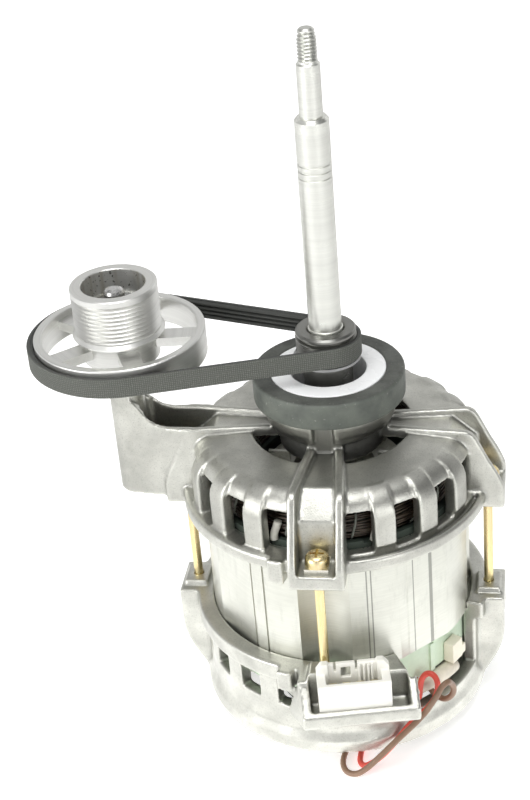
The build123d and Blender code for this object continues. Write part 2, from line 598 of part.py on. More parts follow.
# Copper turns that lie on the upper head: a flat spiral of half turns
turns_z = STACK_TOP + INSULATOR_FLANGE + SEAT_GAP + HEAD_HEIGHT + TURN_RADIUS + SEAT_GAP
first_turn = (head_inner + head_outer) / 2 - TURN_COUNT * TURN_PITCH / 2
half_turns = [first_turn + k * TURN_PITCH / 2 for k in range(2 * TURN_COUNT)]

with BuildPart() as upper_winding_turns:
    with BuildLine() as turns_path:
        for k, radius in enumerate(half_turns):
            shift = 0 if k % 2 == 0 else TURN_PITCH / 2
            CenterArc((shift, 0, turns_z), radius, 180 * (k % 2), 180)
        lead_in = turns_path.line @ 0
        Line((lead_in.X, -2 * TURN_RADIUS, turns_z), lead_in)
    with BuildSketch(Plane(origin=(lead_in.X, -2 * TURN_RADIUS, turns_z), z_dir=(0, 1, 0))):
        Circle(TURN_RADIUS)
    sweep(path=turns_path.line)
print("least gap between copper turns", round(TURN_PITCH - 2 * TURN_RADIUS, 2), "mm")
save(upper_winding_turns, "upper_winding_turns")

# Rubber mounting rings and their plastic sleeves, one pair on each hub
for place, ring_z, way in (("upper", HUB_TOP, 1), ("lower", FLOOR_LIFT, -1)):
    far_z = ring_z + way * RING_HEIGHT
    with BuildPart() as mount_ring:
        with BuildSketch(Plane.XZ):
            Polygon((SLEEVE_RADIUS + SEAT_GAP / 2, ring_z), (RING_RADIUS - RING_CHAMFER, ring_z),
                    (RING_RADIUS, ring_z + way * RING_CHAMFER), (RING_RADIUS, far_z - way * RING_CHAMFER),
                    (RING_RADIUS - RING_CHAMFER, far_z), (SLEEVE_RADIUS + SEAT_GAP / 2, far_z), align=None)
        revolve(axis=Axis.Z)
    save(mount_ring, f"{place}_mount_ring")
    bore = SLEEVE_BORE if way > 0 else SLEEVE_BORE + SEAT_GAP
    spigot = SLEEVE_SPIGOT if way > 0 else 0.0
    with BuildPart() as sleeve:
        with BuildSketch(Plane.XZ):
            with Locations(((bore + SLEEVE_RADIUS) / 2, (ring_z + far_z) / 2)):
                Rectangle(SLEEVE_RADIUS - bore, RING_HEIGHT)
            if spigot:
                with Locations(((bore + HUB_BORE - SEAT_GAP) / 2, ring_z - spigot / 2)):
                    Rectangle(HUB_BORE - SEAT_GAP - bore, spigot)
        revolve(axis=Axis.Z)
    save(sleeve, f"{place}_ring_sleeve")

# Through bolts with pan heads, each on a square plate in its lug
head_z = lug_floor_top + PLATE_HEIGHT
with BuildPart() as through_bolts:
    with PolarLocations(BOLT_CIRCLE, 4):
        with Locations((0, 0, lower_lug_bottom - 1)):
            Cylinder(BOLT_RADIUS, head_z - lower_lug_bottom + 1,
                     align=(Align.CENTER, Align.CENTER, Align.MIN))
    for quadrant in QUADRANTS:
        a = radians(quadrant)
        with BuildSketch(Plane(origin=(BOLT_CIRCLE * cos(a), BOLT_CIRCLE * sin(a), head_z))):
            Circle(BOLT_HEAD_RADIUS)
        pan = extrude(amount=BOLT_HEAD_HEIGHT)
        fillet(pan.edges().sort_by(Axis.Z)[-1], BOLT_HEAD_HEIGHT * 0.6)
    with PolarLocations(BOLT_CIRCLE, 4):
        with Locations((0, 0, head_z + BOLT_HEAD_HEIGHT)):
            Box(5, PHILLIPS_WIDTH, 2 * PHILLIPS_DEPTH, mode=Mode.SUBTRACT)
            Box(PHILLIPS_WIDTH, 5, 2 * PHILLIPS_DEPTH, mode=Mode.SUBTRACT)
save(through_bolts, "through_bolts")

with BuildPart() as bolt_plates:
    with PolarLocations(BOLT_CIRCLE, 4):
        with Locations((0, 0, lug_floor_top)):
            Box(PLATE_SIDE, PLATE_SIDE, PLATE_HEIGHT, align=(Align.CENTER, Align.CENTER, Align.MIN))
            Cylinder(BOLT_RADIUS + SEAT_GAP, 3 * PLATE_HEIGHT, mode=Mode.SUBTRACT)
save(bolt_plates, "bolt_plates")

# Rotor: shaft, laminated core and cast end rings with fan blades
rotor_bottom = STACK_BOTTOM + 1
rotor_top = STACK_TOP - 1
shaft_end = FLOOR_LIFT + 2
lower_seat_top = LOWER_BEARING_Z + BEARING_WIDTH
pulley_foot = bearing_seat_top + 1.5
thread_top = SHAFT_LONG_TOP + 0.5 + FAN_SEAT_LENGTH + THREAD_LENGTH
belt_top = BELT_BOTTOM + BELT_WIDTH
lip_top = belt_top + 2.9

with BuildPart() as rotor_shaft:
    with BuildSketch(Plane.XZ):
        Polygon((0, shaft_end), (BEARING_BORE - 1, shaft_end), (BEARING_BORE, shaft_end + 1),
                (BEARING_BORE, lower_seat_top), (SHAFT_SHOULDER + 1, lower_seat_top),
                (SHAFT_SHOULDER + 1, rotor_bottom - END_RING_HEIGHT),
                (SHAFT_SHOULDER, rotor_bottom - END_RING_HEIGHT), (SHAFT_SHOULDER, UPPER_BEARING_Z),
                (BEARING_BORE, UPPER_BEARING_Z), (BEARING_BORE, pulley_foot),
                (PULLEY_SEAT_RADIUS, pulley_foot), (PULLEY_SEAT_RADIUS, lip_top + PULLEY_SEAT_SHOWN),
                (SHAFT_RADIUS, lip_top + PULLEY_SEAT_SHOWN), (SHAFT_RADIUS, SHAFT_LONG_TOP - 1.2),
                        (SHAFT_RADIUS - 0.5, SHAFT_LONG_TOP),
                (FAN_SEAT_RADIUS, SHAFT_LONG_TOP), (FAN_SEAT_RADIUS, SHAFT_LONG_TOP + FAN_SEAT_LENGTH),
                (THREAD_RADIUS, SHAFT_LONG_TOP + FAN_SEAT_LENGTH + 0.5), (THREAD_RADIUS, thread_top - 0.5),
                (THREAD_RADIUS - 0.9, thread_top + 0.5), (0, thread_top + 0.5), align=None)
        # fine turned marks near the top of the long stretch
        for depth in MARK_GROOVES:
            with Locations((SHAFT_RADIUS, SHAFT_LONG_TOP - depth)):
                Rectangle(0.5, 0.5, mode=Mode.SUBTRACT)
    revolve(axis=Axis.Z)
save(rotor_shaft, "rotor_shaft")

with BuildPart() as rotor_core:
    with BuildSketch(Plane.XY.offset(rotor_bottom)):
        Circle(ROTOR_RADIUS)
        Circle(SHAFT_SHOULDER + SEAT_GAP / 2, mode=Mode.SUBTRACT)
    extrude(amount=rotor_top - rotor_bottom)
save(rotor_core, "rotor_core")

with BuildPart() as rotor_end_rings:
    for face_z, way in ((rotor_top, 1), (rotor_bottom, -1)):
        with BuildSketch(Plane.XZ):
            with Locations(((END_RING_BORE + ROTOR_RADIUS) / 2, face_z + way * END_RING_HEIGHT / 2)):
                Rectangle(ROTOR_RADIUS - END_RING_BORE - 1, END_RING_HEIGHT)
        revolve(axis=Axis.Z)
        with PolarLocations((END_RING_BORE + ROTOR_RADIUS) / 2, BLADE_COUNT):
            with Locations((0, 0, face_z + way * (END_RING_HEIGHT + 2.5))):
                Box(8, 1.6, 6)
save(rotor_end_rings, "rotor_end_rings")

# Ball bearings: outer ring, inner ring and balls
balls_per_bearing = 7


def bearing_numbers(outer, bore):
    """Pitch radius, ball radius and ring thickness of a bearing of this size."""
    pitch = (outer + bore) / 2
    ball = (outer - bore) * 0.28
    ring = (outer - bore) * 0.3
    return pitch, ball, ring


def outer_ring_section(outer, bore, z, width):
    """Half section of an outer ring with its raceway, drawn in the current sketch."""
    pitch, ball, ring = bearing_numbers(outer, bore)
    with Locations((outer - ring / 2, z + width / 2)):
        Rectangle(ring, width)
    with Locations((pitch, z + width / 2)):
        Circle(ball + SEAT_GAP, mode=Mode.SUBTRACT)


def inner_ring_section(outer, bore, z, width, gap):
    """Half section of an inner ring with its raceway, drawn in the current sketch."""
    pitch, ball, ring = bearing_numbers(outer, bore)
    with Locations((bore + SHAFT_GAP + (ring - SHAFT_GAP) / 2, z + width / 2)):
        Rectangle(ring - SHAFT_GAP, width)
    with Locations((pitch, z + width / 2)):
        Circle(ball + gap, mode=Mode.SUBTRACT)


for name, z in (("upper_bearing", UPPER_BEARING_Z), ("lower_bearing", LOWER_BEARING_Z)):
    with BuildPart() as outer_ring:
        with BuildSketch(Plane.XZ):
            outer_ring_section(BEARING_OUTER, BEARING_BORE, z, BEARING_WIDTH)
        revolve(axis=Axis.Z)
    save(outer_ring, f"{name}_outer_ring")
    with BuildPart() as inner_ring:
        with BuildSketch(Plane.XZ):
            inner_ring_section(BEARING_OUTER, BEARING_BORE, z, BEARING_WIDTH, RUNNING_GAP)
        revolve(axis=Axis.Z)
    save(inner_ring, f"{name}_inner_ring")
    pitch, ball, ring = bearing_numbers(BEARING_OUTER, BEARING_BORE)
    with BuildPart() as balls:
        with PolarLocations(pitch, balls_per_bearing):
            with Locations((0, 0, z + BEARING_WIDTH / 2)):
                Sphere(ball)
    save(balls, f"{name}_balls")

with BuildPart() as preload_washer:
    with BuildSketch(Plane.XY.offset(floor_top + 0.1)):
        Circle(BEARING_OUTER - 0.4)
        Circle(BEARING_OUTER - 3.4, mode=Mode.SUBTRACT)
    extrude(amount=LOWER_BEARING_Z - floor_top - 0.2)
save(preload_washer, "preload_washer")

# Motor pulley: neck, ribbed seat for the belt and rolled lip, with a loose flange below the belt
pulley_bore = PULLEY_SEAT_RADIUS + SHAFT_GAP
rib_pitch = BELT_WIDTH / (BELT_RIBS + 0.4)
first_groove = BELT_BOTTOM + (BELT_WIDTH - BELT_RIBS * rib_pitch) / 2
pulley_crest = BELT_MOTOR_BACK - BELT_THICK + RIB_DEPTH - RUNNING_GAP
flange_bottom = BELT_BOTTOM - 0.4 - FLANGE_THICK

with BuildPart() as motor_pulley:
    with BuildSketch(Plane.XZ):
        with BuildLine():
            outline = [(PULLEY_NECK, flange_bottom - 0.2), (pulley_crest, flange_bottom - 0.2),
                       (pulley_crest, first_groove)]
            for k in range(BELT_RIBS):
                outline.append((pulley_crest - RIB_DEPTH, first_groove + (k + 0.5) * rib_pitch))
                outline.append((pulley_crest, first_groove + (k + 1) * rib_pitch))
            outline += [(pulley_crest, belt_top), (pulley_crest - 1, belt_top + 0.3),
                        (pulley_crest - 1, belt_top + 1), (PULLEY_LIP, belt_top + 1.5),
                        (PULLEY_LIP, lip_top - 0.7), (PULLEY_LIP - 0.7, lip_top),
                        (pulley_bore + 0.8, lip_top), (pulley_bore, lip_top - 0.8),
                        (pulley_bore, pulley_foot), (PULLEY_NECK - 1, pulley_foot),
                        (PULLEY_NECK - 1, HUB_TOP), (PULLEY_NECK, HUB_TOP + 2)]
            Polyline(*outline, close=True)
        make_face()
    revolve(axis=Axis.Z)
save(motor_pulley, "motor_pulley")

with BuildPart() as pulley_flange:
    with BuildSketch(Plane.XY.offset(flange_bottom)):
        Circle(FLANGE_RADIUS)
        Circle(pulley_crest + SEAT_GAP, mode=Mode.SUBTRACT)
    extrude(amount=FLANGE_THICK)
save(pulley_flange, "pulley_flange")

# Flat-backed ribbed belt round both pulleys
wheel_back = WHEEL_RADIUS + RUNNING_GAP + BELT_THICK
wrap = degrees(acos((wheel_back - BELT_MOTOR_BACK) / CENTRE_DISTANCE))


def belt_loop(depth):
    """Outline of the belt's run at a depth under its flat back: two arcs and two straight runs."""
    small = BELT_MOTOR_BACK - depth
    large = wheel_back - depth
    nx, ny = cos(radians(wrap)), sin(radians(wrap))
    near = CenterArc((0, 0), small, -wrap, 2 * wrap)
    upper = Line((small * nx, small * ny), (-CENTRE_DISTANCE + large * nx, large * ny))
    far = CenterArc((-CENTRE_DISTANCE, 0), large, wrap, 360 - 2 * wrap)
    lower = Line((-CENTRE_DISTANCE + large * nx, -large * ny), (small * nx, -small * ny))
    return near, upper, far, lower


with BuildPart() as drive_belt:
    with BuildSketch(Plane.XY.offset(BELT_BOTTOM)):
        make_face(belt_loop(0))
    extrude(amount=BELT_WIDTH)
    rib_heights = [(BELT_BOTTOM - 1, BELT_THICK - RIB_DEPTH), (first_groove, BELT_THICK - RIB_DEPTH)]
    for k in range(BELT_RIBS):
        rib_heights.append((first_groove + (k + 0.5) * rib_pitch, BELT_THICK))
        rib_heights.append((first_groove + (k + 1) * rib_pitch, BELT_THICK - RIB_DEPTH))
    rib_heights.append((belt_top + 1, BELT_THICK - RIB_DEPTH))
    for height, depth in rib_heights:
        with BuildSketch(Plane.XY.offset(height)):
            make_face(belt_loop(depth))
    loft(ruled=True, mode=Mode.SUBTRACT)
save(drive_belt, "drive_belt")

# Idler: spoked wheel below, ribbed hub above, in one piece
wheel_top = belt_top + WHEEL_OVER_BELT
wheel_bottom = wheel_top - WHEEL_HEIGHT
idler_flange_z = wheel_top - 0.4
idler_top = wheel_top + IDLER_HUB_RISE
grooves_start = idler_flange_z + 2.6
groove_root = IDLER_HUB_RADIUS - IDLER_GROOVE_DEPTH
seat_top = idler_top - IDLER_MOUTH_DEPTH
idler_axis = Axis((-CENTRE_DISTANCE, 0, 0), (0, 0, 1))
idler_plane = Plane(origin=(-CENTRE_DISTANCE, 0, 0), x_dir=(1, 0, 0), z_dir=(0, -1, 0))

with BuildPart() as idler_pulley:
    with BuildSketch(idler_plane):
        with BuildLine():
            hub_line = [(IDLER_BEARING_OUTER - 1, wheel_bottom + 1), (IDLER_NECK, wheel_bottom + 1),
                        (IDLER_NECK, idler_flange_z - 0.6), (IDLER_FLANGE_RADIUS - 0.4, idler_flange_z),
                        (IDLER_FLANGE_RADIUS, idler_flange_z + 0.8),
                        (IDLER_HUB_RADIUS, grooves_start - 0.6), (IDLER_HUB_RADIUS, grooves_start)]
            for k in range(IDLER_GROOVES):
                hub_line.append((groove_root, grooves_start + (k + 0.5) * IDLER_GROOVE_PITCH))
                hub_line.append((IDLER_HUB_RADIUS, grooves_start + (k + 1) * IDLER_GROOVE_PITCH))
            hub_line += [(IDLER_HUB_RADIUS, idler_top - 0.4), (IDLER_HUB_RADIUS - 0.4, idler_top),
                         (IDLER_MOUTH + 0.3, idler_top), (IDLER_MOUTH, idler_top - 0.3),
                         (IDLER_MOUTH, seat_top), (IDLER_BEARING_OUTER + SEAT_GAP, seat_top),
                         (IDLER_BEARING_OUTER + SEAT_GAP, wheel_bottom + 3),
                         (IDLER_BEARING_OUTER - 1, wheel_bottom + 3)]
            Polyline(*hub_line, close=True)
        make_face()
    revolve(axis=idler_axis)
    with BuildSketch(idler_plane):
        with Locations((WHEEL_RADIUS - WHEEL_RIM / 2, wheel_top - WHEEL_HEIGHT / 2)):
            RectangleRounded(WHEEL_RIM, WHEEL_HEIGHT, 0.6)
    revolve(axis=idler_axis)
    with BuildSketch(Plane.XY.offset(wheel_top - 2.4 - SPOKE_THICK)):
        with Locations((-CENTRE_DISTANCE, 0)):
            spoke_middle = (IDLER_NECK + WHEEL_RADIUS - WHEEL_RIM) / 2
            with PolarLocations(spoke_middle, SPOKES, start_angle=SPOKE_START):
                Rectangle(WHEEL_RADIUS - WHEEL_RIM - IDLER_NECK + 2, SPOKE_WIDTH)
    extrude(amount=SPOKE_THICK)
save(idler_pulley, "idler_pulley")

# Idler bearings, one at each end of the hub, on a stepped axle
lower_seat = wheel_bottom + 3
upper_seat = seat_top - 1.6 - IDLER_BEARING_WIDTH
with BuildPart() as idler_outer_rings:
    for z in (lower_seat, upper_seat):
        with BuildSketch(idler_plane):
            outer_ring_section(IDLER_BEARING_OUTER, IDLER_BEARING_BORE, z, IDLER_BEARING_WIDTH)
        revolve(axis=idler_axis)
save(idler_outer_rings, "idler_outer_rings")

with BuildPart() as idler_inner_rings:
    for z in (lower_seat, upper_seat):
        with BuildSketch(idler_plane):
            inner_ring_section(IDLER_BEARING_OUTER, IDLER_BEARING_BORE, z, IDLER_BEARING_WIDTH, RUNNING_GAP)
        revolve(axis=idler_axis)
save(idler_inner_rings, "idler_inner_rings")

pitch, ball, ring = bearing_numbers(IDLER_BEARING_OUTER, IDLER_BEARING_BORE)
with BuildPart() as idler_balls:
    for z in (lower_seat, upper_seat):
        with Locations((-CENTRE_DISTANCE, 0, z + IDLER_BEARING_WIDTH / 2)):
            with PolarLocations(pitch, balls_per_bearing):
                Sphere(ball)
save(idler_balls, "idler_balls")

with BuildPart() as bearing_spacer:
    with BuildSketch(Plane.XY.offset(lower_seat + IDLER_BEARING_WIDTH)):
        with Locations((-CENTRE_DISTANCE, 0)):
            Circle(IDLER_BEARING_OUTER)
            Circle(IDLER_BEARING_OUTER - ring, mode=Mode.SUBTRACT)
    extrude(amount=upper_seat - lower_seat - IDLER_BEARING_WIDTH)
save(bearing_spacer, "bearing_spacer")

with BuildPart() as idler_circlip:
    with BuildSketch(Plane.XY.offset(upper_seat + IDLER_BEARING_WIDTH)):
        with Locations((-CENTRE_DISTANCE, 0)):
            Circle(IDLER_BEARING_OUTER)
            Circle(IDLER_BEARING_OUTER - 1.3, mode=Mode.SUBTRACT)
            with PolarLocations(IDLER_BEARING_OUTER - 1.6, 2, start_angle=18, angular_range=-36):
                Circle(1.3)
            with Locations((IDLER_BEARING_OUTER, 0)):
                Rectangle(8, 4.6, mode=Mode.SUBTRACT)
    extrude(amount=1.2)
save(idler_circlip, "idler_circlip")

with BuildPart() as idler_axle:
    with BuildSketch(idler_plane):
        Polygon((0, POST_TOP - AXLE_GRIP + 1), (AXLE_FOOT_RADIUS, POST_TOP - AXLE_GRIP + 1),
                (AXLE_FOOT_RADIUS, POST_TOP), (IDLER_BEARING_BORE + 1.6, POST_TOP),
                (IDLER_BEARING_BORE + 1.6, lower_seat), (IDLER_BEARING_BORE, lower_seat),
                (IDLER_BEARING_BORE, seat_top + 0.4), (AXLE_TIP_RADIUS, seat_top + 1.4),
                (AXLE_TIP_RADIUS, idler_top - 3.6), (AXLE_TIP_RADIUS - 0.6, idler_top - 2.6),
                (AXLE_TIP_RADIUS / 2, idler_top - 2.1), (0, idler_top - 2), align=None)
    revolve(axis=Axis((-CENTRE_DISTANCE, 0, 0), (0, 0, 1)))
save(idler_axle, "idler_axle")

# Connector: housing with a raised back wall, latch window and side posts
connector_floor = POCKET_BOTTOM + POCKET_WALL
connector_mid = CONNECTOR_BACK + CONNECTOR_DEPTH / 2
face_plane = outward_plane(POCKET_ANGLE, CONNECTOR_BACK)

with BuildPart() as connector_housing:
    with BuildSketch(face_plane):
        with Locations((CONNECTOR_SHIFT, (connector_floor + CONNECTOR_FRONT_TOP) / 2)):
            Rectangle(2 * CONNECTOR_HALF, CONNECTOR_FRONT_TOP - connector_floor)
    extrude(amount=CONNECTOR_DEPTH)
    with BuildSketch(outward_plane(POCKET_ANGLE, CONNECTOR_BACK + CONNECTOR_WALL)):
        with Locations((CONNECTOR_SHIFT, (connector_floor + 2 * CONNECTOR_FLOOR + CONNECTOR_BACK_TOP) / 2)):
            Rectangle(2 * (CONNECTOR_HALF - 2 * CONNECTOR_WALL),
                      CONNECTOR_BACK_TOP - connector_floor - 2 * CONNECTOR_FLOOR + 2)
    extrude(amount=CONNECTOR_DEPTH - 2 * CONNECTOR_WALL, mode=Mode.SUBTRACT)
    # back wall with a slit each side of its latch tongue
    with BuildSketch(face_plane):
        with Locations((CONNECTOR_SHIFT, (CONNECTOR_FRONT_TOP + CONNECTOR_BACK_TOP) / 2)):
            Rectangle(2 * CONNECTOR_HALF - 3, CONNECTOR_BACK_TOP - CONNECTOR_FRONT_TOP)
        for side in (-1, 1):
            with Locations((CONNECTOR_SHIFT + LATCH_SHIFT + side * 3.9, CONNECTOR_BACK_TOP)):
                Rectangle(0.8, 7, mode=Mode.SUBTRACT)
    extrude(amount=CONNECTOR_WALL)
    with BuildSketch(face_plane):
        with Locations((CONNECTOR_SHIFT + LATCH_SHIFT, CONNECTOR_BACK_TOP - 1.8 - LATCH_HEIGHT / 2)):
            Rectangle(LATCH_WIDTH, LATCH_HEIGHT)
    extrude(amount=CONNECTOR_WALL, mode=Mode.SUBTRACT)
    # posts with slanted heads
    for side in (-1, 1):
        with BuildSketch(outward_plane(POCKET_ANGLE, CONNECTOR_BACK - 0.4)):
            inner = CONNECTOR_SHIFT + side * (CONNECTOR_HALF - 4.4)
            outer = CONNECTOR_SHIFT + side * CONNECTOR_HALF
            Polygon((inner, connector_floor), (outer, connector_floor), (outer, CONNECTOR_BACK_TOP - 2),
                    (outer - side * 2, CONNECTOR_BACK_TOP + 0.6), (inner, CONNECTOR_BACK_TOP + 0.6),
                    align=None)
        extrude(amount=3)
save(connector_housing, "connector_housing")

with BuildPart() as connector_terminals:
    with BuildSketch(outward_plane(POCKET_ANGLE, connector_mid - 2)):
        for k in range(TERMINALS):
            x = CONNECTOR_SHIFT + (k - (TERMINALS - 1) / 2) * TERMINAL_PITCH
            with Locations((x, connector_floor + 2 * CONNECTOR_FLOOR + 3.6)):
                Rectangle(TERMINAL_WIDTH, 9.0)
    extrude(amount=TERMINAL_THICK)
save(connector_terminals, "connector_terminals")

# Cream clip on the insulator, beside the leads
clip_angle = -29.0
with BuildPart() as cable_clip:
    with BuildSketch(outward_plane(clip_angle, INSULATOR_OUTER + SEAT_GAP)):
        with Locations((0, CLIP_MIDDLE)):
            Rectangle(CLIP_WIDTH, CLIP_HEIGHT)
        with Locations((CLIP_WIDTH / 2, CLIP_MIDDLE - 1.6)):
            Rectangle(4, CLIP_HEIGHT / 2)
    extrude(amount=CLIP_DEPTH)
    with BuildSketch(outward_plane(clip_angle, INSULATOR_OUTER + 1.6)):
        with Locations((-0.5, CLIP_MIDDLE - CLIP_HEIGHT / 2)):
            Rectangle(CLIP_WIDTH - 3, CLIP_HEIGHT - 4)
    extrude(amount=CLIP_DEPTH - 2.8, mode=Mode.SUBTRACT)
save(cable_clip, "cable_clip")

# Leads, each a tube along straight runs joined by tangent arcs


def corner_radii(points):
    """Radius at each corner: 0.45 of the shorter run over the tangent of half the turn."""
    radii = []
    for before, corner, after in zip(points, points[1:], points[2:]):
        run_in = Vector(corner) - Vector(before)
        run_out = Vector(after) - Vector(corner)
        half_turn = radians(run_in.get_angle(run_out)) / 2
        radii.append(0.45 * min(run_in.length, run_out.length) / tan(half_turn))
    return radii


for name, points in (("red_lead", RED_LEAD), ("brown_lead", BROWN_LEAD)):
    radii = corner_radii(points)
    with BuildPart() as lead:
        with BuildLine() as lead_path:
            FilletPolyline(*points, radius=radii)
        start_way = Vector(points[1]) - Vector(points[0])
        with BuildSketch(Plane(origin=points[0], z_dir=start_way)):
            Circle(LEAD_RADIUS)
        sweep(path=lead_path.wires()[0])
    length = lead_path.wires()[0].length
    print(name, "radii", [round(radius, 1) for radius in radii])
    print(name, "length", round(length, 1), "volume ratio",
          round(lead.part.volume / (length * pi * LEAD_RADIUS**2), 4))
    save(lead, name)
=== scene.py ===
"""Finishes and fine pieces for a packed tumble dryer motor with an idler arm."""
import math

import bmesh
import bpy
import numpy as np
from bpy.props import FloatProperty, FloatVectorProperty, IntProperty, PointerProperty
from mathutils import Matrix, Vector


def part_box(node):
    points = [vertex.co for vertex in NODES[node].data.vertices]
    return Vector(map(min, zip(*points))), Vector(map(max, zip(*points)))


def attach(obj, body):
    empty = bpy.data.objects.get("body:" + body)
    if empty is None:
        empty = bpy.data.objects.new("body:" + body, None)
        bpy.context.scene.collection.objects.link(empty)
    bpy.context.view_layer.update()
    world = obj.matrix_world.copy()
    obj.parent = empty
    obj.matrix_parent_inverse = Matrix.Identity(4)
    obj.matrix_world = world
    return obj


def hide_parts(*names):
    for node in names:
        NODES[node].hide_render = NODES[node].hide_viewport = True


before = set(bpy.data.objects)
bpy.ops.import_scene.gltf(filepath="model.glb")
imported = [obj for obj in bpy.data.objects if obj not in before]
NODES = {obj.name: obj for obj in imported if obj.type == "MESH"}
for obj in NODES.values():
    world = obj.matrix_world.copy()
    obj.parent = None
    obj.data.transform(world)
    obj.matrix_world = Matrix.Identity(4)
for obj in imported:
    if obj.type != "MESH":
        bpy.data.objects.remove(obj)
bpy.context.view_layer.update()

bl_info = {
    "name": "Dryer Motor Finish",
    "version": (1, 0, 0),
    "blender": (4, 5, 0),
    "location": "View3D > Sidebar > Motor",
    "description": "Gives a packed tumble dryer motor its castings, belt, windings, leads and stage",
    "category": "Object",
}

MM = 0.001
WHITE = (1.0, 1.0, 1.0, 1.0)

# Where the photograph was taken from, in millimetres
CAMERA_PLACE = (78.9, -536.9, 445.5)
CAMERA_RIGHT = (0.98650, 0.14454, -0.07686)
CAMERA_UP = (-0.00735, 0.50809, 0.86127)
CAMERA_BACK = (0.16354, -0.84908, 0.50230)
CAMERA_LENS = 76.32
SENSOR_WIDTH = 36.0

# Routes of the two leads, in millimetres, as the solids have them
RED_LEAD = (
    (30.3, -32.3, 28.5), (30.3, -32.7, 24.0), (30.2, -35.0, 20.2), (32.3, -40.3, 20.2),
    (32.8, -40.5, 26.4), (33.5, -40.8, 31.0), (35.6, -40.7, 33.8), (38.2, -41.7, 33.9),
    (39.7, -42.7, 31.4), (39.6, -42.8, 27.2), (38.4, -43.0, 23.2), (35.8, -42.7, 18.6),
    (32.4, -45.5, 16.6), (29.2, -48.9, 15.6), (26.0, -51.4, 12.2), (22.8, -53.9, 9.2),
    (19.3, -56.2, 6.2), (15.5, -57.6, 3.4), (12.3, -57.5, 1.3), (10.2, -55.5, 1.3),
    (10.1, -50.4, 1.3), (10.6, -46.6, 1.3), (11.6, -42.4, 2.4), (12.3, -39.6, 6.4),
    (12.4, -39.2, 11.4))
BROWN_LEAD = (
    (32.4, -30.2, 28.5), (33.2, -31.8, 24.4), (36.4, -35.4, 20.8), (40.6, -38.6, 19.6),
    (43.2, -39.9, 21.0), (45.4, -40.6, 24.4), (45.5, -41.5, 28.4), (44.4, -43.0, 31.6),
    (43.7, -45.4, 33.8), (41.6, -47.6, 33.4), (40.2, -48.0, 30.2), (38.5, -48.0, 26.8),
    (35.5, -48.3, 21.5), (32.3, -51.0, 19.0), (28.9, -53.4, 16.6), (25.2, -55.8, 14.0),
    (21.6, -57.9, 11.0), (17.8, -59.9, 7.8), (14.0, -61.3, 4.2), (9.7, -62.2, 1.3),
    (5.6, -61.1, 1.3), (3.7, -56.3, 1.3), (3.9, -51.4, 1.3), (5.0, -46.6, 1.3),
    (6.0, -41.6, 2.4), (6.4, -38.7, 6.6), (6.5, -38.3, 11.5))

# Sizes in millimetres and angles in degrees that the frame's boxes can't give
# Shaft, where a turned mark is a row of cuts and places along it
SHAFT_RADIUS = 6.0
SHAFT_FOOT_RADIUS = 7.4
SHAFT_SIDES = 144
PULLEY_SEAT_RADIUS = 6.4
PULLEY_SEAT_LENGTH = 30.0
LIP_LIFT = 0.5
FAN_SEAT_RADIUS = 4.1
FAN_SEAT_LENGTH = 18.7
THREAD_RADIUS = 3.45
THREAD_LENGTH = 11.0
THREAD_DEPTH = 0.62
THREAD_FOOT = 259.0
THREAD_NECK = 1.0
THREAD_STEPS = 150
THREAD_TAPER = 0.75
THREAD_RUN_OUT = 0.8
TAPER_LENGTH = 4.0
TIP_BEVEL = 0.6
STEP_BEVEL = 0.9
STEP_BEVEL_LENGTH = 1.2
MARK_DEPTHS = (16.7, 19.1, 21.5)
MARK_SECTION = ((0.0, -0.45), (0.35, -0.2), (0.35, 0.2), (0.0, 0.45))

# Rings and sleeves
SLEEVE_BORE = 14.1
SLEEVE_WALL = 2.0
SLEEVE_ROUND = 0.5
RING_SIDE = 27.3

# Belt and idler
BELT_THICK = 2.4
BELT_RIBS = 4
BELT_BEVEL = 0.3
RIB_DEPTH = 1.1
RIB_CREST = 0.3
ARC_STEPS = (48, 144)
IDLER_X = -76.8
IDLER_MOUTH = 11.9

# Connector fins, whose section is out to the side and off the wall
CONNECTOR_ANGLE = -78.5
CONNECTOR_WALL = 60.8
CONNECTOR_FINS = (0.2, 1.9, 3.5, 4.8)
CONNECTOR_FIN_FOOT = 38.5
CONNECTOR_FIN_TOP = 52.6
FIN_SECTION = ((0, 0), (0.9, 0), (0.9, 1.3), (0.45, 1.7), (0, 1.3))

# Windings and the sleeves beside them, with the share of a sleeve's radius along its ends
HEAD_INNER = 29.9
STRAND_STEPS = 145
SLEEVING_ANGLES = (-120.5, -109.6, -66.0, 32.0)
SLEEVING_RADIUS = 1.5
SLEEVE_RUN = (0.0, 0.01, *np.linspace(0.02, 0.98, 13), 0.99, 1.0)
SLEEVE_SHARES = (0.02, 0.75, *np.ones(13), 0.75, 0.02)
BUNDLE_START = -66.0
BUNDLE_END = -27.0
BUNDLE_REACH = 50.0
BUNDLE_RADIUS = 3.0
BUNDLE_HEIGHT = 24.6

# Skins: triangles of a casting, the reach of the painted shade round the hub, and the core's upright seams
SKIN_TRIANGLES = 180000
HUB_SHADE_INNER = 20.0
HUB_SHADE_OUTER = 36.0
SEAM_ANGLES = (-71.9, -70.0, -50.3, -41.2, -40.6, -40.0, 108.1, 110.0, 129.7, 138.8, 139.4, 140.0)
SEAM_WIDTH = 0.40

# Stage in metres: name, place, size and watts of each soft box, and the floor's flat run and bend
LAMPS = (
    ("Key", (-0.95, -0.85, 0.50), 0.8, 8.5),
    ("Top", (0.0, -0.40, 1.25), 0.70, 6.5),
    ("Fill", (0.90, -1.00, 0.40), 0.6, 4.0))
LAMP_AIM = (0.0, 0.0, 0.1)
FLOOR_REACH = 6.0
FLOOR_BEND = 2.0

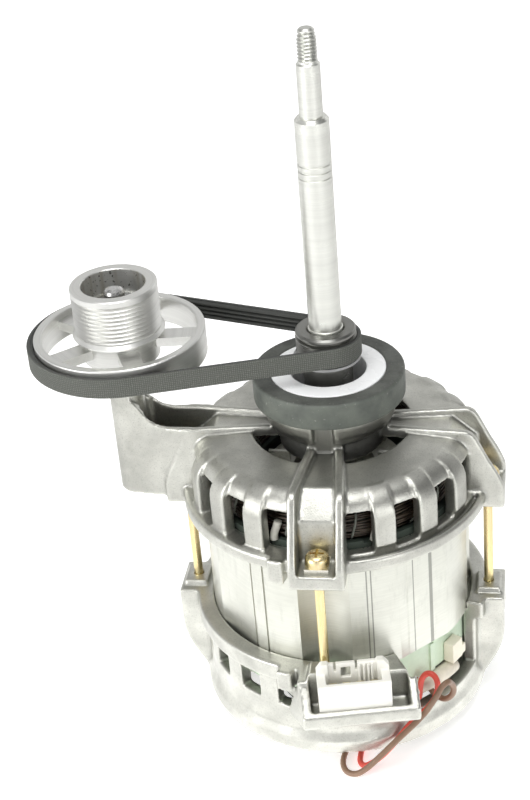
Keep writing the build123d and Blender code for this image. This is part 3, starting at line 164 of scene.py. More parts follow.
# Nodes that show their own shape, by finish
PLAIN_NODES = {
    "casting": ("rotor_end_rings",),
    "core": ("stator_core", "rotor_core"),
    "axle": ("idler_axle",),
    "race": ("idler_outer_rings", "idler_inner_rings", "idler_balls"),
    "pulley": ("motor_pulley",),
    "idler": ("idler_pulley",),
    "bearing": ("upper_bearing_outer_ring", "upper_bearing_inner_ring", "upper_bearing_balls",
                "lower_bearing_outer_ring", "lower_bearing_inner_ring", "lower_bearing_balls"),
    "pressed": ("pulley_flange", "preload_washer", "bearing_spacer", "idler_circlip"),
    "plate": ("bolt_plates",),
    "zinc": ("through_bolts",),
    "green": ("lower_insulator",),
    "dark": ("upper_insulator",),
    "terminal": ("connector_terminals",),
}


def colour(label, default):
    """A colour that a user may change."""
    return FloatVectorProperty(name=label, description=f"Colour of the {label.lower()}",
                               subtype="COLOR", size=3, min=0.0, max=1.0, default=default)


class MotorSizes(bpy.types.PropertyGroup):
    """Sizes of the pieces and finishes that the solids don't hold."""

    cast_lattice: FloatProperty(
        name="Cast lattice", description="Spacing of the lattice that softens a casting's edges",
        default=0.6 * MM, min=0.3 * MM, max=2 * MM, unit="LENGTH")
    ring_round: FloatProperty(
        name="Ring rounding", description="Radius along the edges of the rubber rings",
        default=1.1 * MM, min=0.0, max=3 * MM, unit="LENGTH")
    thread_pitch: FloatProperty(
        name="Thread pitch", description="Rise of the shaft's thread in one turn",
        default=1.25 * MM, min=0.5 * MM, max=3 * MM, unit="LENGTH")
    lead_diameter: FloatProperty(
        name="Lead diameter", description="Outside diameter of the red and brown leads",
        default=2.3 * MM, min=1 * MM, max=4 * MM, unit="LENGTH")
    wire_radius: FloatProperty(
        name="Winding wire radius", description="Radius of one wire in the winding heads",
        default=0.42 * MM, min=0.1 * MM, max=1 * MM, unit="LENGTH")
    strands: IntProperty(
        name="Strands", description="Wires that show round each winding head", default=64, min=12, max=160)
    lacings: IntProperty(
        name="Lacings", description="Cords laced across each winding head", default=24, min=0, max=48)


class MotorColours(bpy.types.PropertyGroup):
    """Colours of the motor's finishes."""

    casting: colour("Aluminium castings", (0.56, 0.56, 0.515))
    core: colour("Core sheets", (0.66, 0.665, 0.605))
    rubber: colour("Mounting rubber", (0.070, 0.075, 0.066))
    sleeve: colour("White sleeve", (0.93, 0.94, 0.94))
    belt_back: colour("Belt's fabric back", (0.118, 0.124, 0.109))
    insulator: colour("Green insulator", (0.64, 0.77, 0.60))
    connector: colour("Connector housing", (0.86, 0.85, 0.79))
    clip: colour("Cream clip", (0.84, 0.80, 0.66))
    copper: colour("Copper wire", (0.070, 0.052, 0.036))
    zinc: colour("Yellow zinc", (0.83, 0.71, 0.38))
    red_lead: colour("Red lead", (0.72, 0.085, 0.060))
    brown_lead: colour("Brown lead", (0.235, 0.140, 0.088))


# Shader building


def add(tree, kind, *values, settings=(), **named):
    """A shader node whose sockets, by order or by name, get a value or a link."""
    node = tree.nodes.new("ShaderNode" + kind)
    for key, value in dict(settings).items():
        setattr(node, key, value)
    pairs = list(zip(node.inputs, values))
    pairs += [(node.inputs[key.replace("_", " ")], value) for key, value in named.items()]
    for socket, value in pairs:
        if isinstance(value, bpy.types.NodeSocket):
            tree.links.new(value, socket)
        else:
            socket.default_value = value
    return node


def maths(tree, operation, *values):
    """Result of a Math node."""
    return add(tree, "Math", *values, settings={"operation": operation}).outputs[0]


def mix(tree, factor, first, second):
    """Colour between two others."""
    node = tree.nodes.new("ShaderNodeMix")
    node.data_type = "RGBA"
    for index, value in ((0, factor), (6, first), (7, second)):
        if isinstance(value, bpy.types.NodeSocket):
            tree.links.new(value, node.inputs[index])
        else:
            node.inputs[index].default_value = value
    return node.outputs[2]


def span(tree, value, low, high, out_low=0.0, out_high=1.0):
    """Value mapped from one range to another and held inside it."""
    return add(tree, "MapRange", value, low, high, out_low, out_high).outputs[0]


def noise(tree, place, scale, detail=2.0, roughness=0.5):
    """Cloudy value at a place, from nought to one."""
    cloud = add(tree, "TexNoise", Vector=place, Scale=scale, Detail=detail, Roughness=roughness)
    return cloud.outputs["Fac"]


def shade(rgb, factor=1.0):
    """A colour made lighter or darker, with full alpha."""
    return (*(min(1.0, part * factor) for part in rgb), 1.0)


def start_material(name, **sockets):
    """A material with one Principled shader, its tree, shader and Object coordinates."""
    material = bpy.data.materials.new(name)
    material.use_nodes = True
    tree = material.node_tree
    shader = tree.nodes["Principled BSDF"]
    for key, value in sockets.items():
        shader.inputs[key.replace("_", " ")].default_value = value
    place = add(tree, "TexCoord").outputs["Object"]
    return material, tree, shader, place


def reopen(material):
    """The tree, shader, colour link and Object coordinates of a material that is made already."""
    tree = material.node_tree
    shader = tree.nodes["Principled BSDF"]
    tone = shader.inputs["Base Color"].links[0].from_socket
    return tree, shader, tone, add(tree, "TexCoord").outputs["Object"]


def join(tree, shader, tone, roughness=None):
    """Joins a colour, and a roughness where it varies, to the shader."""
    tree.links.new(tone, shader.inputs["Base Color"])
    if roughness is not None:
        tree.links.new(roughness, shader.inputs["Roughness"])


def bump(tree, shader, height, strength, distance):
    """Joins a height to the shader's normal."""
    node = add(tree, "Bump", Height=height, Strength=strength, Distance=distance)
    tree.links.new(node.outputs[0], shader.inputs["Normal"])


def start_group(name, inputs, outputs):
    """An empty shader node group with named inputs and outputs."""
    group = bpy.data.node_groups.new(name, "ShaderNodeTree")
    for label, kind, value in inputs:
        socket = group.interface.new_socket(name=label, in_out="INPUT", socket_type=kind)
        if value is not None:
            socket.default_value = value
    for label, kind in outputs:
        group.interface.new_socket(name=label, in_out="OUTPUT", socket_type=kind)
    return group, group.nodes.new("NodeGroupInput").outputs, group.nodes.new("NodeGroupOutput").inputs


def grain_group():
    """Grain of a cast or moulded skin: fine bumps at one size and broad blotches at another."""
    group, given, out = start_group(
        "Skin grain",
        (("Place", "NodeSocketVector", None), ("Grain size", "NodeSocketFloat", 0.0006),
         ("Blotch size", "NodeSocketFloat", 0.02)),
        (("Height", "NodeSocketFloat"), ("Grain", "NodeSocketFloat"), ("Blotch", "NodeSocketFloat")))
    fine = noise(group, given["Place"], maths(group, "DIVIDE", 1.0, given["Grain size"]), 3.0, 0.6)
    broad = noise(group, given["Place"], maths(group, "DIVIDE", 1.0, given["Blotch size"]), 4.0, 0.6)
    grain = span(group, fine, 0.35, 0.65)
    blotch = span(group, broad, 0.36, 0.64)
    height = maths(group, "ADD", grain, maths(group, "MULTIPLY", blotch, 1.5))
    for label, value in (("Height", height), ("Grain", grain), ("Blotch", blotch)):
        group.links.new(value, out[label])
    return group


def radius_of(tree, place):
    """Distance of a place from the upright axis through its origin."""
    flat = add(tree, "VectorMath", place, (1.0, 1.0, 0.0), settings={"operation": "MULTIPLY"}).outputs[0]
    return add(tree, "VectorMath", flat, settings={"operation": "LENGTH"}).outputs["Value"]


def from_axis(tree, place, axis_x):
    """A place measured from the upright axis that stands at the given x, in millimetres."""
    return add(tree, "Mapping", Vector=place, Location=(-axis_x * MM, 0.0, 0.0)).outputs[0]


def turning_group():
    """Marks of turning round an upright axis: rings at a fine and a coarse pitch."""
    group, given, out = start_group(
        "Turning marks",
        (("Place", "NodeSocketVector", None), ("Pitch", "NodeSocketFloat", 0.0004)),
        (("Height", "NodeSocketFloat"), ("Mask", "NodeSocketFloat")))
    up = add(group, "SeparateXYZ", given["Place"]).outputs["Z"]
    stretch = add(group, "CombineXYZ", radius_of(group, given["Place"]), 0.0, up).outputs[0]
    scale = maths(group, "DIVIDE", 1.0, given["Pitch"])
    fine = noise(group, stretch, scale)
    wide = noise(group, stretch, maths(group, "DIVIDE", scale, 9.0))
    mask = maths(group, "MULTIPLY", maths(group, "ADD", fine, wide), 0.5)
    group.links.new(fine, out["Height"])
    group.links.new(span(group, mask, 0.38, 0.62), out["Mask"])
    return group


def use_group(tree, group, **values):
    """A node group placed in a material's tree with its own values."""
    node = tree.nodes.new("ShaderNodeGroup")
    node.node_tree = group
    for key, value in values.items():
        socket = node.inputs[key.replace("_", " ")]
        if isinstance(value, bpy.types.NodeSocket):
            tree.links.new(value, socket)
        else:
            socket.default_value = value
    return node.outputs


def cast_metal(name, rgb):
    """Die-cast aluminium: sandy grain, grey blotches, painted shade in recesses, painted highlights on
    edges and painted shade round the hub.
    """
    material, tree, shader, place = start_material(name, Metallic=0.95)
    grain = use_group(tree, GROUPS["grain"], Place=place, Grain_size=0.55 * MM, Blotch_size=16 * MM)
    body = mix(tree, grain["Blotch"], shade(rgb, 0.80), shade(rgb, 1.10))
    # Painted shade: the colour darkens towards the axis, standing in for the shadow under the mounting
    # ring.
    hub_shade = span(tree, radius_of(tree, place), HUB_SHADE_INNER * MM, HUB_SHADE_OUTER * MM, 0.85, 0.0)
    body = mix(tree, hub_shade, body, shade(rgb, 0.34))
    # Painted shade in concave creases and painted highlights on convex edges, both taken from the mesh's
    # pointiness.
    bend = add(tree, "NewGeometry").outputs["Pointiness"]
    body = mix(tree, span(tree, bend, 0.44, 0.495, 0.85, 0.0), body, shade(rgb, 0.22))
    body = mix(tree, span(tree, bend, 0.505, 0.56, 0.0, 0.6), body, shade(rgb, 1.35))
    speck = span(tree, grain["Grain"], 0.0, 0.35, 0.34, 0.0)
    join(tree, shader, mix(tree, speck, body, shade(rgb, 0.45)),
         span(tree, grain["Blotch"], 0.0, 1.0, 0.40, 0.28))
    bump(tree, shader, grain["Height"], 0.4, 0.08 * MM)
    return material


def turned_metal(name, rgb, pitch, roughness, metallic=1.0, axis_x=0.0, wear_depth=0.12):
    """Metal turned on a lathe: fine rings, and a softer shine where they are coarse."""
    material, tree, shader, place = start_material(name, Metallic=metallic)
    place = from_axis(tree, place, axis_x)
    marks = use_group(tree, GROUPS["turning"], Place=place, Pitch=pitch)
    wear = span(tree, noise(tree, place, 110.0, 4.0, 0.65), 0.46, 0.66)
    rough = maths(tree, "ADD", span(tree, marks["Mask"], 0.0, 1.0, roughness + 0.05, roughness),
                  maths(tree, "MULTIPLY", wear, wear_depth))
    join(tree, shader, mix(tree, marks["Mask"], shade(rgb, 0.94), shade(rgb, 1.05)), rough)
    bump(tree, shader, marks["Height"], 0.25, 0.012 * MM)
    return material


def shaft_metal(name, rgb):
    """Turned steel of the shaft, greyer on the rough thread at its end."""
    material = turned_metal(name, rgb, 0.25 * MM, 0.27, 0.9)
    tree, shader, tone, place = reopen(material)
    height = add(tree, "SeparateXYZ", place).outputs["Z"]
    worn = span(tree, height, THREAD_FOOT * MM, (THREAD_FOOT + 1.0) * MM, 0.0, 0.8)
    join(tree, shader, mix(tree, worn, tone, shade(rgb, 0.78)))
    return material


def idler_metal(name, rgb):
    """Turned aluminium of the idler, with streaks and specks of dirt in the hub's mouth."""
    material = turned_metal(name, rgb, 0.35 * MM, 0.34, 0.95, IDLER_X, 0.05)
    tree, shader, tone, place = reopen(material)
    place = from_axis(tree, place, IDLER_X)
    mouth = span(tree, radius_of(tree, place), IDLER_MOUTH * MM, (IDLER_MOUTH + 0.25) * MM, 1.0, 0.0)
    upright = add(tree, "Mapping", Vector=place, Scale=(1.0, 1.0, 0.06)).outputs[0]
    streaks = span(tree, noise(tree, upright, 330.0, 3.0), 0.40, 0.62, 0.0, 0.5)
    specks = span(tree, noise(tree, place, 750.0, 2.0, 0.7), 0.62, 0.68, 0.0, 0.9)
    for dirt, stain in ((streaks, (0.42, 0.39, 0.31)), (specks, (0.035, 0.028, 0.020))):
        tone = mix(tree, maths(tree, "MULTIPLY", mouth, dirt), tone, shade(stain))
    join(tree, shader, tone)
    return material


def sheet_stack(name, rgb):
    """Punched sheets seen edge on: fine level lines, slanting drags, soft stains, and upright seams drawn
    as dark lines of painted shade for their grooves.
    """
    material, tree, shader, place = start_material(name, Metallic=0.9)
    level = add(tree, "Mapping", Vector=place, Scale=(0.05, 0.05, 1.0)).outputs[0]
    slant = add(tree, "Mapping", Vector=place, Rotation=(0.5, 0.4, 0.3), Scale=(1.0, 1.0, 0.25)).outputs[0]
    sheets = noise(tree, level, 2400.0, 1.0)
    drags = noise(tree, slant, 300.0, 5.0, 0.7)
    broad = noise(tree, place, 55.0, 4.0, 0.6)
    tone = mix(tree, span(tree, sheets, 0.36, 0.64), shade(rgb, 0.97), shade(rgb, 1.03))
    tone = mix(tree, span(tree, drags, 0.54, 0.72, 0.0, 0.35), tone, shade(rgb, 0.66))
    tone = mix(tree, span(tree, broad, 0.48, 0.72, 0.0, 0.25), tone, shade(rgb, 0.78))
    parts = add(tree, "SeparateXYZ", place).outputs
    turn = maths(tree, "DEGREES", maths(tree, "ARCTAN2", parts["Y"], parts["X"]))
    # Painted shade: each upright seam is a real joint, and its dark line stands in for the shade in its
    # groove.
    for angle in SEAM_ANGLES:
        off = maths(tree, "ABSOLUTE", maths(tree, "SUBTRACT", turn, angle))
        tone = mix(tree, span(tree, off, SEAM_WIDTH / 3, SEAM_WIDTH, 0.75, 0.0), tone, shade(rgb, 0.22))
    join(tree, shader, tone, span(tree, broad, 0.3, 0.7, 0.28, 0.42))
    bump(tree, shader, maths(tree, "ADD", maths(tree, "MULTIPLY", sheets, 0.4), drags), 0.25, 0.03 * MM)
    return material


def moulded(name, rgb, roughness, spread=0.06):
    """Moulded plastic or rubber: faint orange-peel grain and a slight drift of tone."""
    material, tree, shader, place = start_material(name, Metallic=0.0)
    grain = use_group(tree, GROUPS["grain"], Place=place, Grain_size=1.2 * MM, Blotch_size=14 * MM)
    join(tree, shader, mix(tree, grain["Blotch"], shade(rgb, 1.0 - spread), shade(rgb, 1.0 + spread)),
         span(tree, grain["Blotch"], 0.0, 1.0, roughness + 0.05, roughness - 0.03))
    bump(tree, shader, grain["Blotch"], 0.3, 0.02 * MM)
    return material


def dull_rubber(name, rgb):
    """Old mounting rubber: dull, with a painted sheen that makes its side paler, and with lint and rubbed
    patches.
    """
    material, tree, shader, place = start_material(name, Metallic=0.0)
    grain = use_group(tree, GROUPS["grain"], Place=place, Grain_size=0.7 * MM, Blotch_size=9 * MM)
    face = mix(tree, grain["Blotch"], shade(rgb, 0.8), shade(rgb, 1.35))
    # Painted sheen: the ring's outer side gets a paler, greener copy of the rubber's tone than its top.
    side = mix(tree, grain["Blotch"], shade((0.080, 0.090, 0.078)), shade((0.115, 0.128, 0.108)))
    painted_sheen_side = span(tree, radius_of(tree, place), RING_SIDE * MM, (RING_SIDE + 0.7) * MM)
    tone = mix(tree, painted_sheen_side, face, side)
    lint = span(tree, noise(tree, place, 900.0), 0.66, 0.80, 0.0, 0.5)
    join(tree, shader, mix(tree, lint, tone, shade((0.34, 0.34, 0.31))),
         span(tree, grain["Blotch"], 0.0, 1.0, 0.62, 0.48))
    bump(tree, shader, grain["Height"], 0.5, 0.05 * MM)
    return material


def enamelled_wire(name, rgb):
    """Copper wire under varnish, each strand a little darker or redder along its length."""
    material, tree, shader, place = start_material(name, Metallic=0.7, Coat_Weight=0.5, Coat_Roughness=0.15)
    drift = noise(tree, place, 260.0, 3.0)
    join(tree, shader, mix(tree, span(tree, drift, 0.35, 0.65), shade(rgb, 0.45), shade(rgb, 1.35)),
         span(tree, drift, 0.3, 0.7, 0.30, 0.48))
    bump(tree, shader, drift, 0.2, 0.03 * MM)
    return material


def coloured_zinc(name, rgb):
    """Yellow passivated zinc: gold with greenish and rosy clouds, rubbed paler in places."""
    material, tree, shader, place = start_material(name, Metallic=1.0)
    drawn = add(tree, "Mapping", Vector=place, Scale=(1.0, 1.0, 0.10)).outputs[0]
    cloud = noise(tree, drawn, 260.0)
    wear = noise(tree, drawn, 900.0, 3.0)
    tone = mix(tree, span(tree, cloud, 0.35, 0.65), shade(rgb), shade((0.80, 0.63, 0.36)))
    tone = mix(tree, span(tree, wear, 0.56, 0.72, 0.0, 0.5), tone, shade((0.88, 0.84, 0.66)))
    join(tree, shader, tone, span(tree, wear, 0.3, 0.7, 0.20, 0.42))
    bump(tree, shader, wear, 0.25, 0.03 * MM)
    return material


def belt_fabric(name, rgb):
    """Woven back of a ribbed belt: crossed threads that follow the belt, with pale flecks."""
    material, tree, shader, _ = start_material(name, Metallic=0.0, Roughness=0.8)
    along = add(tree, "UVMap").outputs[0]
    threads = [add(tree, "TexWave", Vector=along, Scale=0.42, Distortion=3.0, Detail=2.0,
                   settings={"wave_type": "BANDS", "bands_direction": direction}).outputs["Fac"]
               for direction in "XY"]
    weave = maths(tree, "MULTIPLY", *threads)
    flecks = span(tree, noise(tree, along, 1.1, 4.0, 0.75), 0.56, 0.72, 0.0, 0.35)
    tone = mix(tree, weave, shade(rgb, 0.60), shade(rgb, 1.35))
    join(tree, shader, mix(tree, flecks, tone, shade((0.30, 0.31, 0.28))))
    bump(tree, shader, weave, 0.6, 0.08 * MM)
    return material


def make_finishes():
    """Every finish of the motor, by name."""
    tint = bpy.context.scene.motor_colours
    return {
        "casting": cast_metal("Cast aluminium", tint.casting),
        "core": sheet_stack("Core sheets", tint.core),
        "shaft": shaft_metal("Turned shaft steel", (0.73, 0.735, 0.69)),
        "pulley": turned_metal("Pulley steel", (0.25, 0.25, 0.235), 0.4 * MM, 0.26),
        "idler": idler_metal("Turned aluminium", (0.74, 0.74, 0.715)),
        "axle": turned_metal("Idler axle steel", (0.62, 0.62, 0.61), 0.3 * MM, 0.22, 1.0, IDLER_X, 0.05),
        "race": turned_metal("Idler bearing steel", (0.50, 0.50, 0.50), 0.3 * MM, 0.2, 1.0, IDLER_X, 0.05),
        "bearing": turned_metal("Bearing steel", (0.66, 0.66, 0.67), 0.3 * MM, 0.14),
        "pressed": turned_metal("Pressed steel", (0.50, 0.50, 0.50), 0.8 * MM, 0.30),
        "plate": turned_metal("Zinc plate", (0.76, 0.74, 0.66), 0.5 * MM, 0.26),
        "zinc": coloured_zinc("Yellow zinc", tint.zinc),
        "rubber": dull_rubber("Mounting rubber", tint.rubber),
        "ribs": moulded("Belt rubber", (0.045, 0.047, 0.043), 0.50),
        "fabric": belt_fabric("Belt fabric", tint.belt_back),
        "sleeve": moulded("White sleeve", tint.sleeve, 0.26, spread=0.02),
        "connector": moulded("Connector nylon", tint.connector, 0.42, spread=0.04),
        "clip": moulded("Cream nylon", tint.clip, 0.45, spread=0.05),
        "green": moulded("Green insulator", tint.insulator, 0.40, spread=0.08),
        "dark": moulded("Dark insulator", (0.045, 0.060, 0.048), 0.45, spread=0.2),
        "terminal": turned_metal("Tinned brass", (0.74, 0.68, 0.50), 0.3 * MM, 0.25),
        "copper": enamelled_wire("Winding wire", tint.copper),
        "varnish": enamelled_wire("Varnished coil", (0.045, 0.045, 0.030)),
        "bundle": moulded("Cream sleeving", (0.74, 0.69, 0.58), 0.6, spread=0.2),
        "sleeving": moulded("Fabric sleeving", (0.70, 0.69, 0.62), 0.6, spread=0.15),
        "lacing": moulded("Lacing cord", (0.20, 0.21, 0.18), 0.6, spread=0.5),
        "red": moulded("Red lead", tint.red_lead, 0.36, spread=0.08),
        "brown": moulded("Brown lead", tint.brown_lead, 0.38, spread=0.15),
    }


# Mesh building


def grid_faces(rows, columns, close_rows=False, close_columns=False):
    """Quads of a grid of points: each point with its next along its row and its column."""
    r = np.arange(rows if close_rows else rows - 1)
    c = np.arange(columns if close_columns else columns - 1)
    i, j = np.meshgrid(r, c, indexing="ij")
    i2 = (i + 1) % rows
    j2 = (j + 1) % columns
    quads = np.stack([i * columns + j, i * columns + j2, i2 * columns + j2, i2 * columns + j], axis=-1)
    return quads.reshape(-1, 4)


def make_piece(name, points, faces, sharp=35.0):
    """An object with the given points, in metres, and faces, smooth apart from its sharp edges."""
    mesh = bpy.data.meshes.new(name)
    mesh.from_pydata(points.reshape(-1, 3).tolist(), [], faces.tolist())
    mesh.shade_smooth()
    mesh.set_sharp_from_angle(angle=math.radians(sharp))
    piece = bpy.data.objects.new(name, mesh)
    bpy.context.scene.collection.objects.link(piece)
    return piece


def lathe(name, profile, centre=(0.0, 0.0), segments=160, sharp=30.0):
    """A closed profile of radius and height, in millimetres, carried round an upright axis.

    A point at angle a is (centre x + r cos a, centre y + r sin a, z)."""
    profile = np.array(profile, float) * MM
    a = np.linspace(0, 2 * np.pi, segments, endpoint=False)[:, None]
    r, z = profile[:, 0][None], profile[:, 1][None]
    points = np.stack([centre[0] * MM + r * np.cos(a), centre[1] * MM + r * np.sin(a),
                       z + 0 * a], axis=-1)
    return make_piece(name, points, grid_faces(segments, len(profile), True, True), sharp)


def rounded(corners, radius, steps=5):
    """Corners of a closed outline, each replaced by a quarter-like arc through its tangent points."""
    out = []
    for before, corner, after in zip(corners[-1:] + corners[:-1], corners, corners[1:] + corners[:1]):
        into = Vector(before) - Vector(corner)
        away = Vector(after) - Vector(corner)
        reach = min(radius, 0.45 * into.length, 0.45 * away.length)
        first, last = Vector(corner) + reach * into.normalized(), Vector(corner) + reach * away.normalized()
        for t in np.linspace(0, 1, steps):
            out.append(tuple((1 - t) ** 2 * first + 2 * t * (1 - t) * Vector(corner) + t * t * last))
    return out


def tubes(name, paths, radius, sides=6):
    """Round tubes along paths, an array of tubes by points by xyz, with one radius or one per point.

    At each point the ring is path + radius (cos b U + sin b W), with U and W square to the path."""
    paths = np.asarray(paths, float)
    radius = np.broadcast_to(radius, paths.shape[1])[None, :, None, None]
    ahead = np.gradient(paths, axis=1)
    ahead /= np.linalg.norm(ahead, axis=-1, keepdims=True)
    side = np.cross(ahead, (0.0, 0.0, 1.0))
    flat = np.linalg.norm(side, axis=-1, keepdims=True)
    side = np.where(flat < 1e-6, (1.0, 0.0, 0.0), side / np.maximum(flat, 1e-6))
    other = np.cross(side, ahead)
    b = np.linspace(0, 2 * np.pi, sides, endpoint=False)[:, None]
    rings = (paths[:, :, None] + radius * (np.cos(b) * side[:, :, None] + np.sin(b) * other[:, :, None]))
    count, steps = paths.shape[:2]
    quads = grid_faces(steps, sides, False, True)
    faces = (quads[None] + (np.arange(count) * steps * sides)[:, None, None]).reshape(-1, 4)
    return make_piece(name, rings, faces, 80.0)


def soft_copy(node, name, voxel, rounds, budget):
    """A merged copy of a CAD node's skin with soft edges and filleted corners.

    The skin is rebuilt on a fine lattice, each point is moved towards its neighbours' mean a few
    times, and the flattest edges are joined until the triangles fit the budget."""
    mesh = NODES[node].data.copy()
    work = bmesh.new()
    work.from_mesh(mesh)
    bmesh.ops.remove_doubles(work, verts=work.verts, dist=0.002 * MM)
    work.to_mesh(mesh)
    work.free()
    mesh.materials.clear()
    piece = bpy.data.objects.new(name, mesh)
    bpy.context.scene.collection.objects.link(piece)
    lattice = piece.modifiers.new("Lattice skin", "REMESH")
    lattice.mode = "VOXEL"
    lattice.voxel_size = voxel
    relax = piece.modifiers.new("Relax", "SMOOTH")
    relax.factor = 0.5
    relax.iterations = rounds
    bpy.context.view_layer.update()
    found = piece.evaluated_get(bpy.context.evaluated_depsgraph_get()).data
    triangles = sum(len(face.vertices) - 2 for face in found.polygons)
    if triangles > budget:
        thin = piece.modifiers.new("Thin", "DECIMATE")
        thin.ratio = budget / triangles
    bpy.context.view_layer.update()
    final = bpy.data.meshes.new_from_object(piece.evaluated_get(bpy.context.evaluated_depsgraph_get()))
    final.name = name
    piece.modifiers.clear()
    piece.data = final
    final.shade_smooth()
    return piece


def belt_route(low, high):
    """Angles round the belt, each with its arc's centre along x and the radius of the belt's back.

    The box's right side gives the small radius and its back side the large one, in millimetres."""
    small, large = high.x, high.y
    away = low.x + large
    lean = math.acos((large - small) / -away)
    angle = np.concatenate([np.linspace(-lean, lean, ARC_STEPS[0]),
                            np.linspace(lean, 2 * np.pi - lean, ARC_STEPS[1])])
    return angle, np.repeat((0.0, away), ARC_STEPS), np.repeat((small, large), ARC_STEPS)


def belt_section(width):
    """Outline of the belt's section: the place across it and the depth from its back, in millimetres."""
    pitch = width / (BELT_RIBS + 0.4)
    root = BELT_THICK - RIB_DEPTH
    across = [BELT_BEVEL - width / 2, width / 2 - BELT_BEVEL, width / 2, width / 2]
    inward = [0.0, 0.0, BELT_BEVEL, root]
    for k in range(BELT_RIBS):
        crest = (BELT_RIBS / 2 - k - 0.5) * pitch
        across += [crest + pitch / 2, crest + RIB_CREST, crest - RIB_CREST]
        inward += [root, BELT_THICK, BELT_THICK]
    across += [-BELT_RIBS / 2 * pitch, -width / 2, -width / 2]
    inward += [root, root, BELT_BEVEL]
    return np.array(across), np.array(inward)


def head_section(turn, swell, middle, half):
    """Radius and height at a turn round a winding head's section, a square with round corners.

    With c and s the turn's cosine and sine, both reaches are scaled by (|c|^3 + |s|^3)^(-1/3)."""
    c, s = np.cos(turn), np.sin(turn)
    fit = (np.abs(c) ** 3 + np.abs(s) ** 3) ** (-1 / 3)
    return middle[0] + (half[0] + swell) * fit * c, middle[1] + (half[1] + swell) * fit * s


def around(radius, angle, height):
    """Points at a radius, an angle and a height about the motor's axis."""
    return np.stack([radius * np.cos(angle), radius * np.sin(angle), height], axis=-1)


def finish_piece(piece, material, body, slot, *nodes):
    """Gives a piece its material and its body, and hides the nodes that it stands for. The slot is not
    used.
    """
    piece.data.materials.append(material)
    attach(piece, body)
    if nodes:
        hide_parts(*nodes)
    return piece


def dress(node, material):
    """Gives a CAD node that is shown as it is its material."""
    mesh = NODES[node].data
    mesh.materials.clear()
    mesh.materials.append(material)


def sizes():
    """The sizes that a user may change."""
    return bpy.context.scene.motor_sizes


def studio_air():
    """Pale air: white to the camera, elsewhere bright low and at the left, dim high and at the right."""
    world = bpy.data.worlds.new("Studio")
    world.use_nodes = True
    tree = world.node_tree
    way = add(tree, "SeparateXYZ", add(tree, "TexCoord").outputs["Generated"]).outputs
    low = span(tree, way["Z"], 0.05, 0.70, 0.85, 0.12)
    front = span(tree, way["Y"], -0.7, 0.7, 1.10, 1.05)
    side = span(tree, way["X"], -0.60, 0.90, 1.35, 0.45)
    air = maths(tree, "MULTIPLY", maths(tree, "MULTIPLY", low, front), side)
    air = maths(tree, "ADD", air, span(tree, way["Z"], 0.70, 0.95, 0.0, 0.60))
    seen = add(tree, "LightPath").outputs["Is Camera Ray"]
    backdrop = tree.nodes["Background"].inputs
    tree.links.new(span(tree, seen, 0.0, 1.0, air, 1.0), backdrop["Strength"])
    backdrop["Color"].default_value = WHITE
    return world


def studio_floor():
    """A wide floor at the motor's foot that turns up into a backdrop: a quarter circle.

    The camera sees it pale to white. Other rays meet a soft glow near the motor and on the backdrop."""
    reach, bend = FLOOR_REACH, FLOOR_BEND
    a = np.linspace(0, np.pi / 2, 24)
    depth = np.concatenate([[-reach], reach + bend * np.sin(a), [reach + bend]])
    height = np.concatenate([[0.0], bend - bend * np.cos(a), [bend + reach]])
    across = np.array([-2 * reach, 2 * reach])
    points = np.stack(np.broadcast_arrays(across[None], depth[:, None], height[:, None]), axis=-1)
    floor = make_piece("studio_floor", points, grid_faces(len(depth), 2))
    material, tree, shader, place = start_material("Studio floor", Roughness=0.9)
    tone = mix(tree, noise(tree, place, 2.0), shade((0.86, 0.86, 0.86)), shade((0.88, 0.88, 0.87)))
    join(tree, shader, tone)
    far = add(tree, "VectorMath", place, settings={"operation": "LENGTH"}).outputs["Value"]
    seen = span(tree, far, 0.2, 1.6, 0.50, 1.0)
    near = span(tree, far, 0.08, 0.20, 0.95, 0.22)
    shed = maths(tree, "MULTIPLY", near, span(tree, far, 0.5, 2.0, 1.0, 0.25))
    side = span(tree, add(tree, "SeparateXYZ", place).outputs["X"], -3.0, 3.0, 0.10, 0.34)
    shed = maths(tree, "ADD", shed, maths(tree, "MULTIPLY", span(tree, far, 3.0, 6.0), side))
    glow = span(tree, add(tree, "LightPath").outputs["Is Camera Ray"], 0.0, 1.0, shed, seen)
    tree.links.new(glow, shader.inputs["Emission Strength"])
    shader.inputs["Emission Color"].default_value = WHITE
    floor.data.materials.append(material)
    return floor


def soft_box(name, place, size, power):
    """A square lamp that looks at the motor's middle."""
    lamp = bpy.data.lights.new(name, "AREA")
    lamp.shape = "SQUARE"
    lamp.size = size
    lamp.energy = power
    holder = bpy.data.objects.new(name, lamp)
    aim = Vector(LAMP_AIM) - Vector(place)
    holder.matrix_world = Matrix.Translation(place) @ aim.to_track_quat("-Z", "Y").to_matrix().to_4x4()
    return holder


class MotorOperator(bpy.types.Operator):
    """Base of the operators that make the motor's pieces."""

    bl_options = {"REGISTER", "UNDO"}


class MOTOR_OT_castings(MotorOperator):
    """End shields, connector and clip with soft cast or moulded edges"""

    bl_idname = "motor.castings"
    bl_label = "Castings and mouldings"

    def execute(self, context):
        grain = sizes().cast_lattice
        for node, share, rounds, finish, slot in (
                ("upper_shield", 1.0, 5, "casting", "cast_aluminium"),
                ("lower_shield", 1.0, 5, "casting", "cast_aluminium"),
                ("connector_housing", 0.4, 2, "connector", "connector_plastic"),
                ("cable_clip", 0.4, 3, "clip", "clip_plastic")):
            piece = soft_copy(node, f"{node}_skin", share * grain, rounds, SKIN_TRIANGLES)
            finish_piece(piece, FINISHES[finish], "motor_body", slot, node)
        return {"FINISHED"}


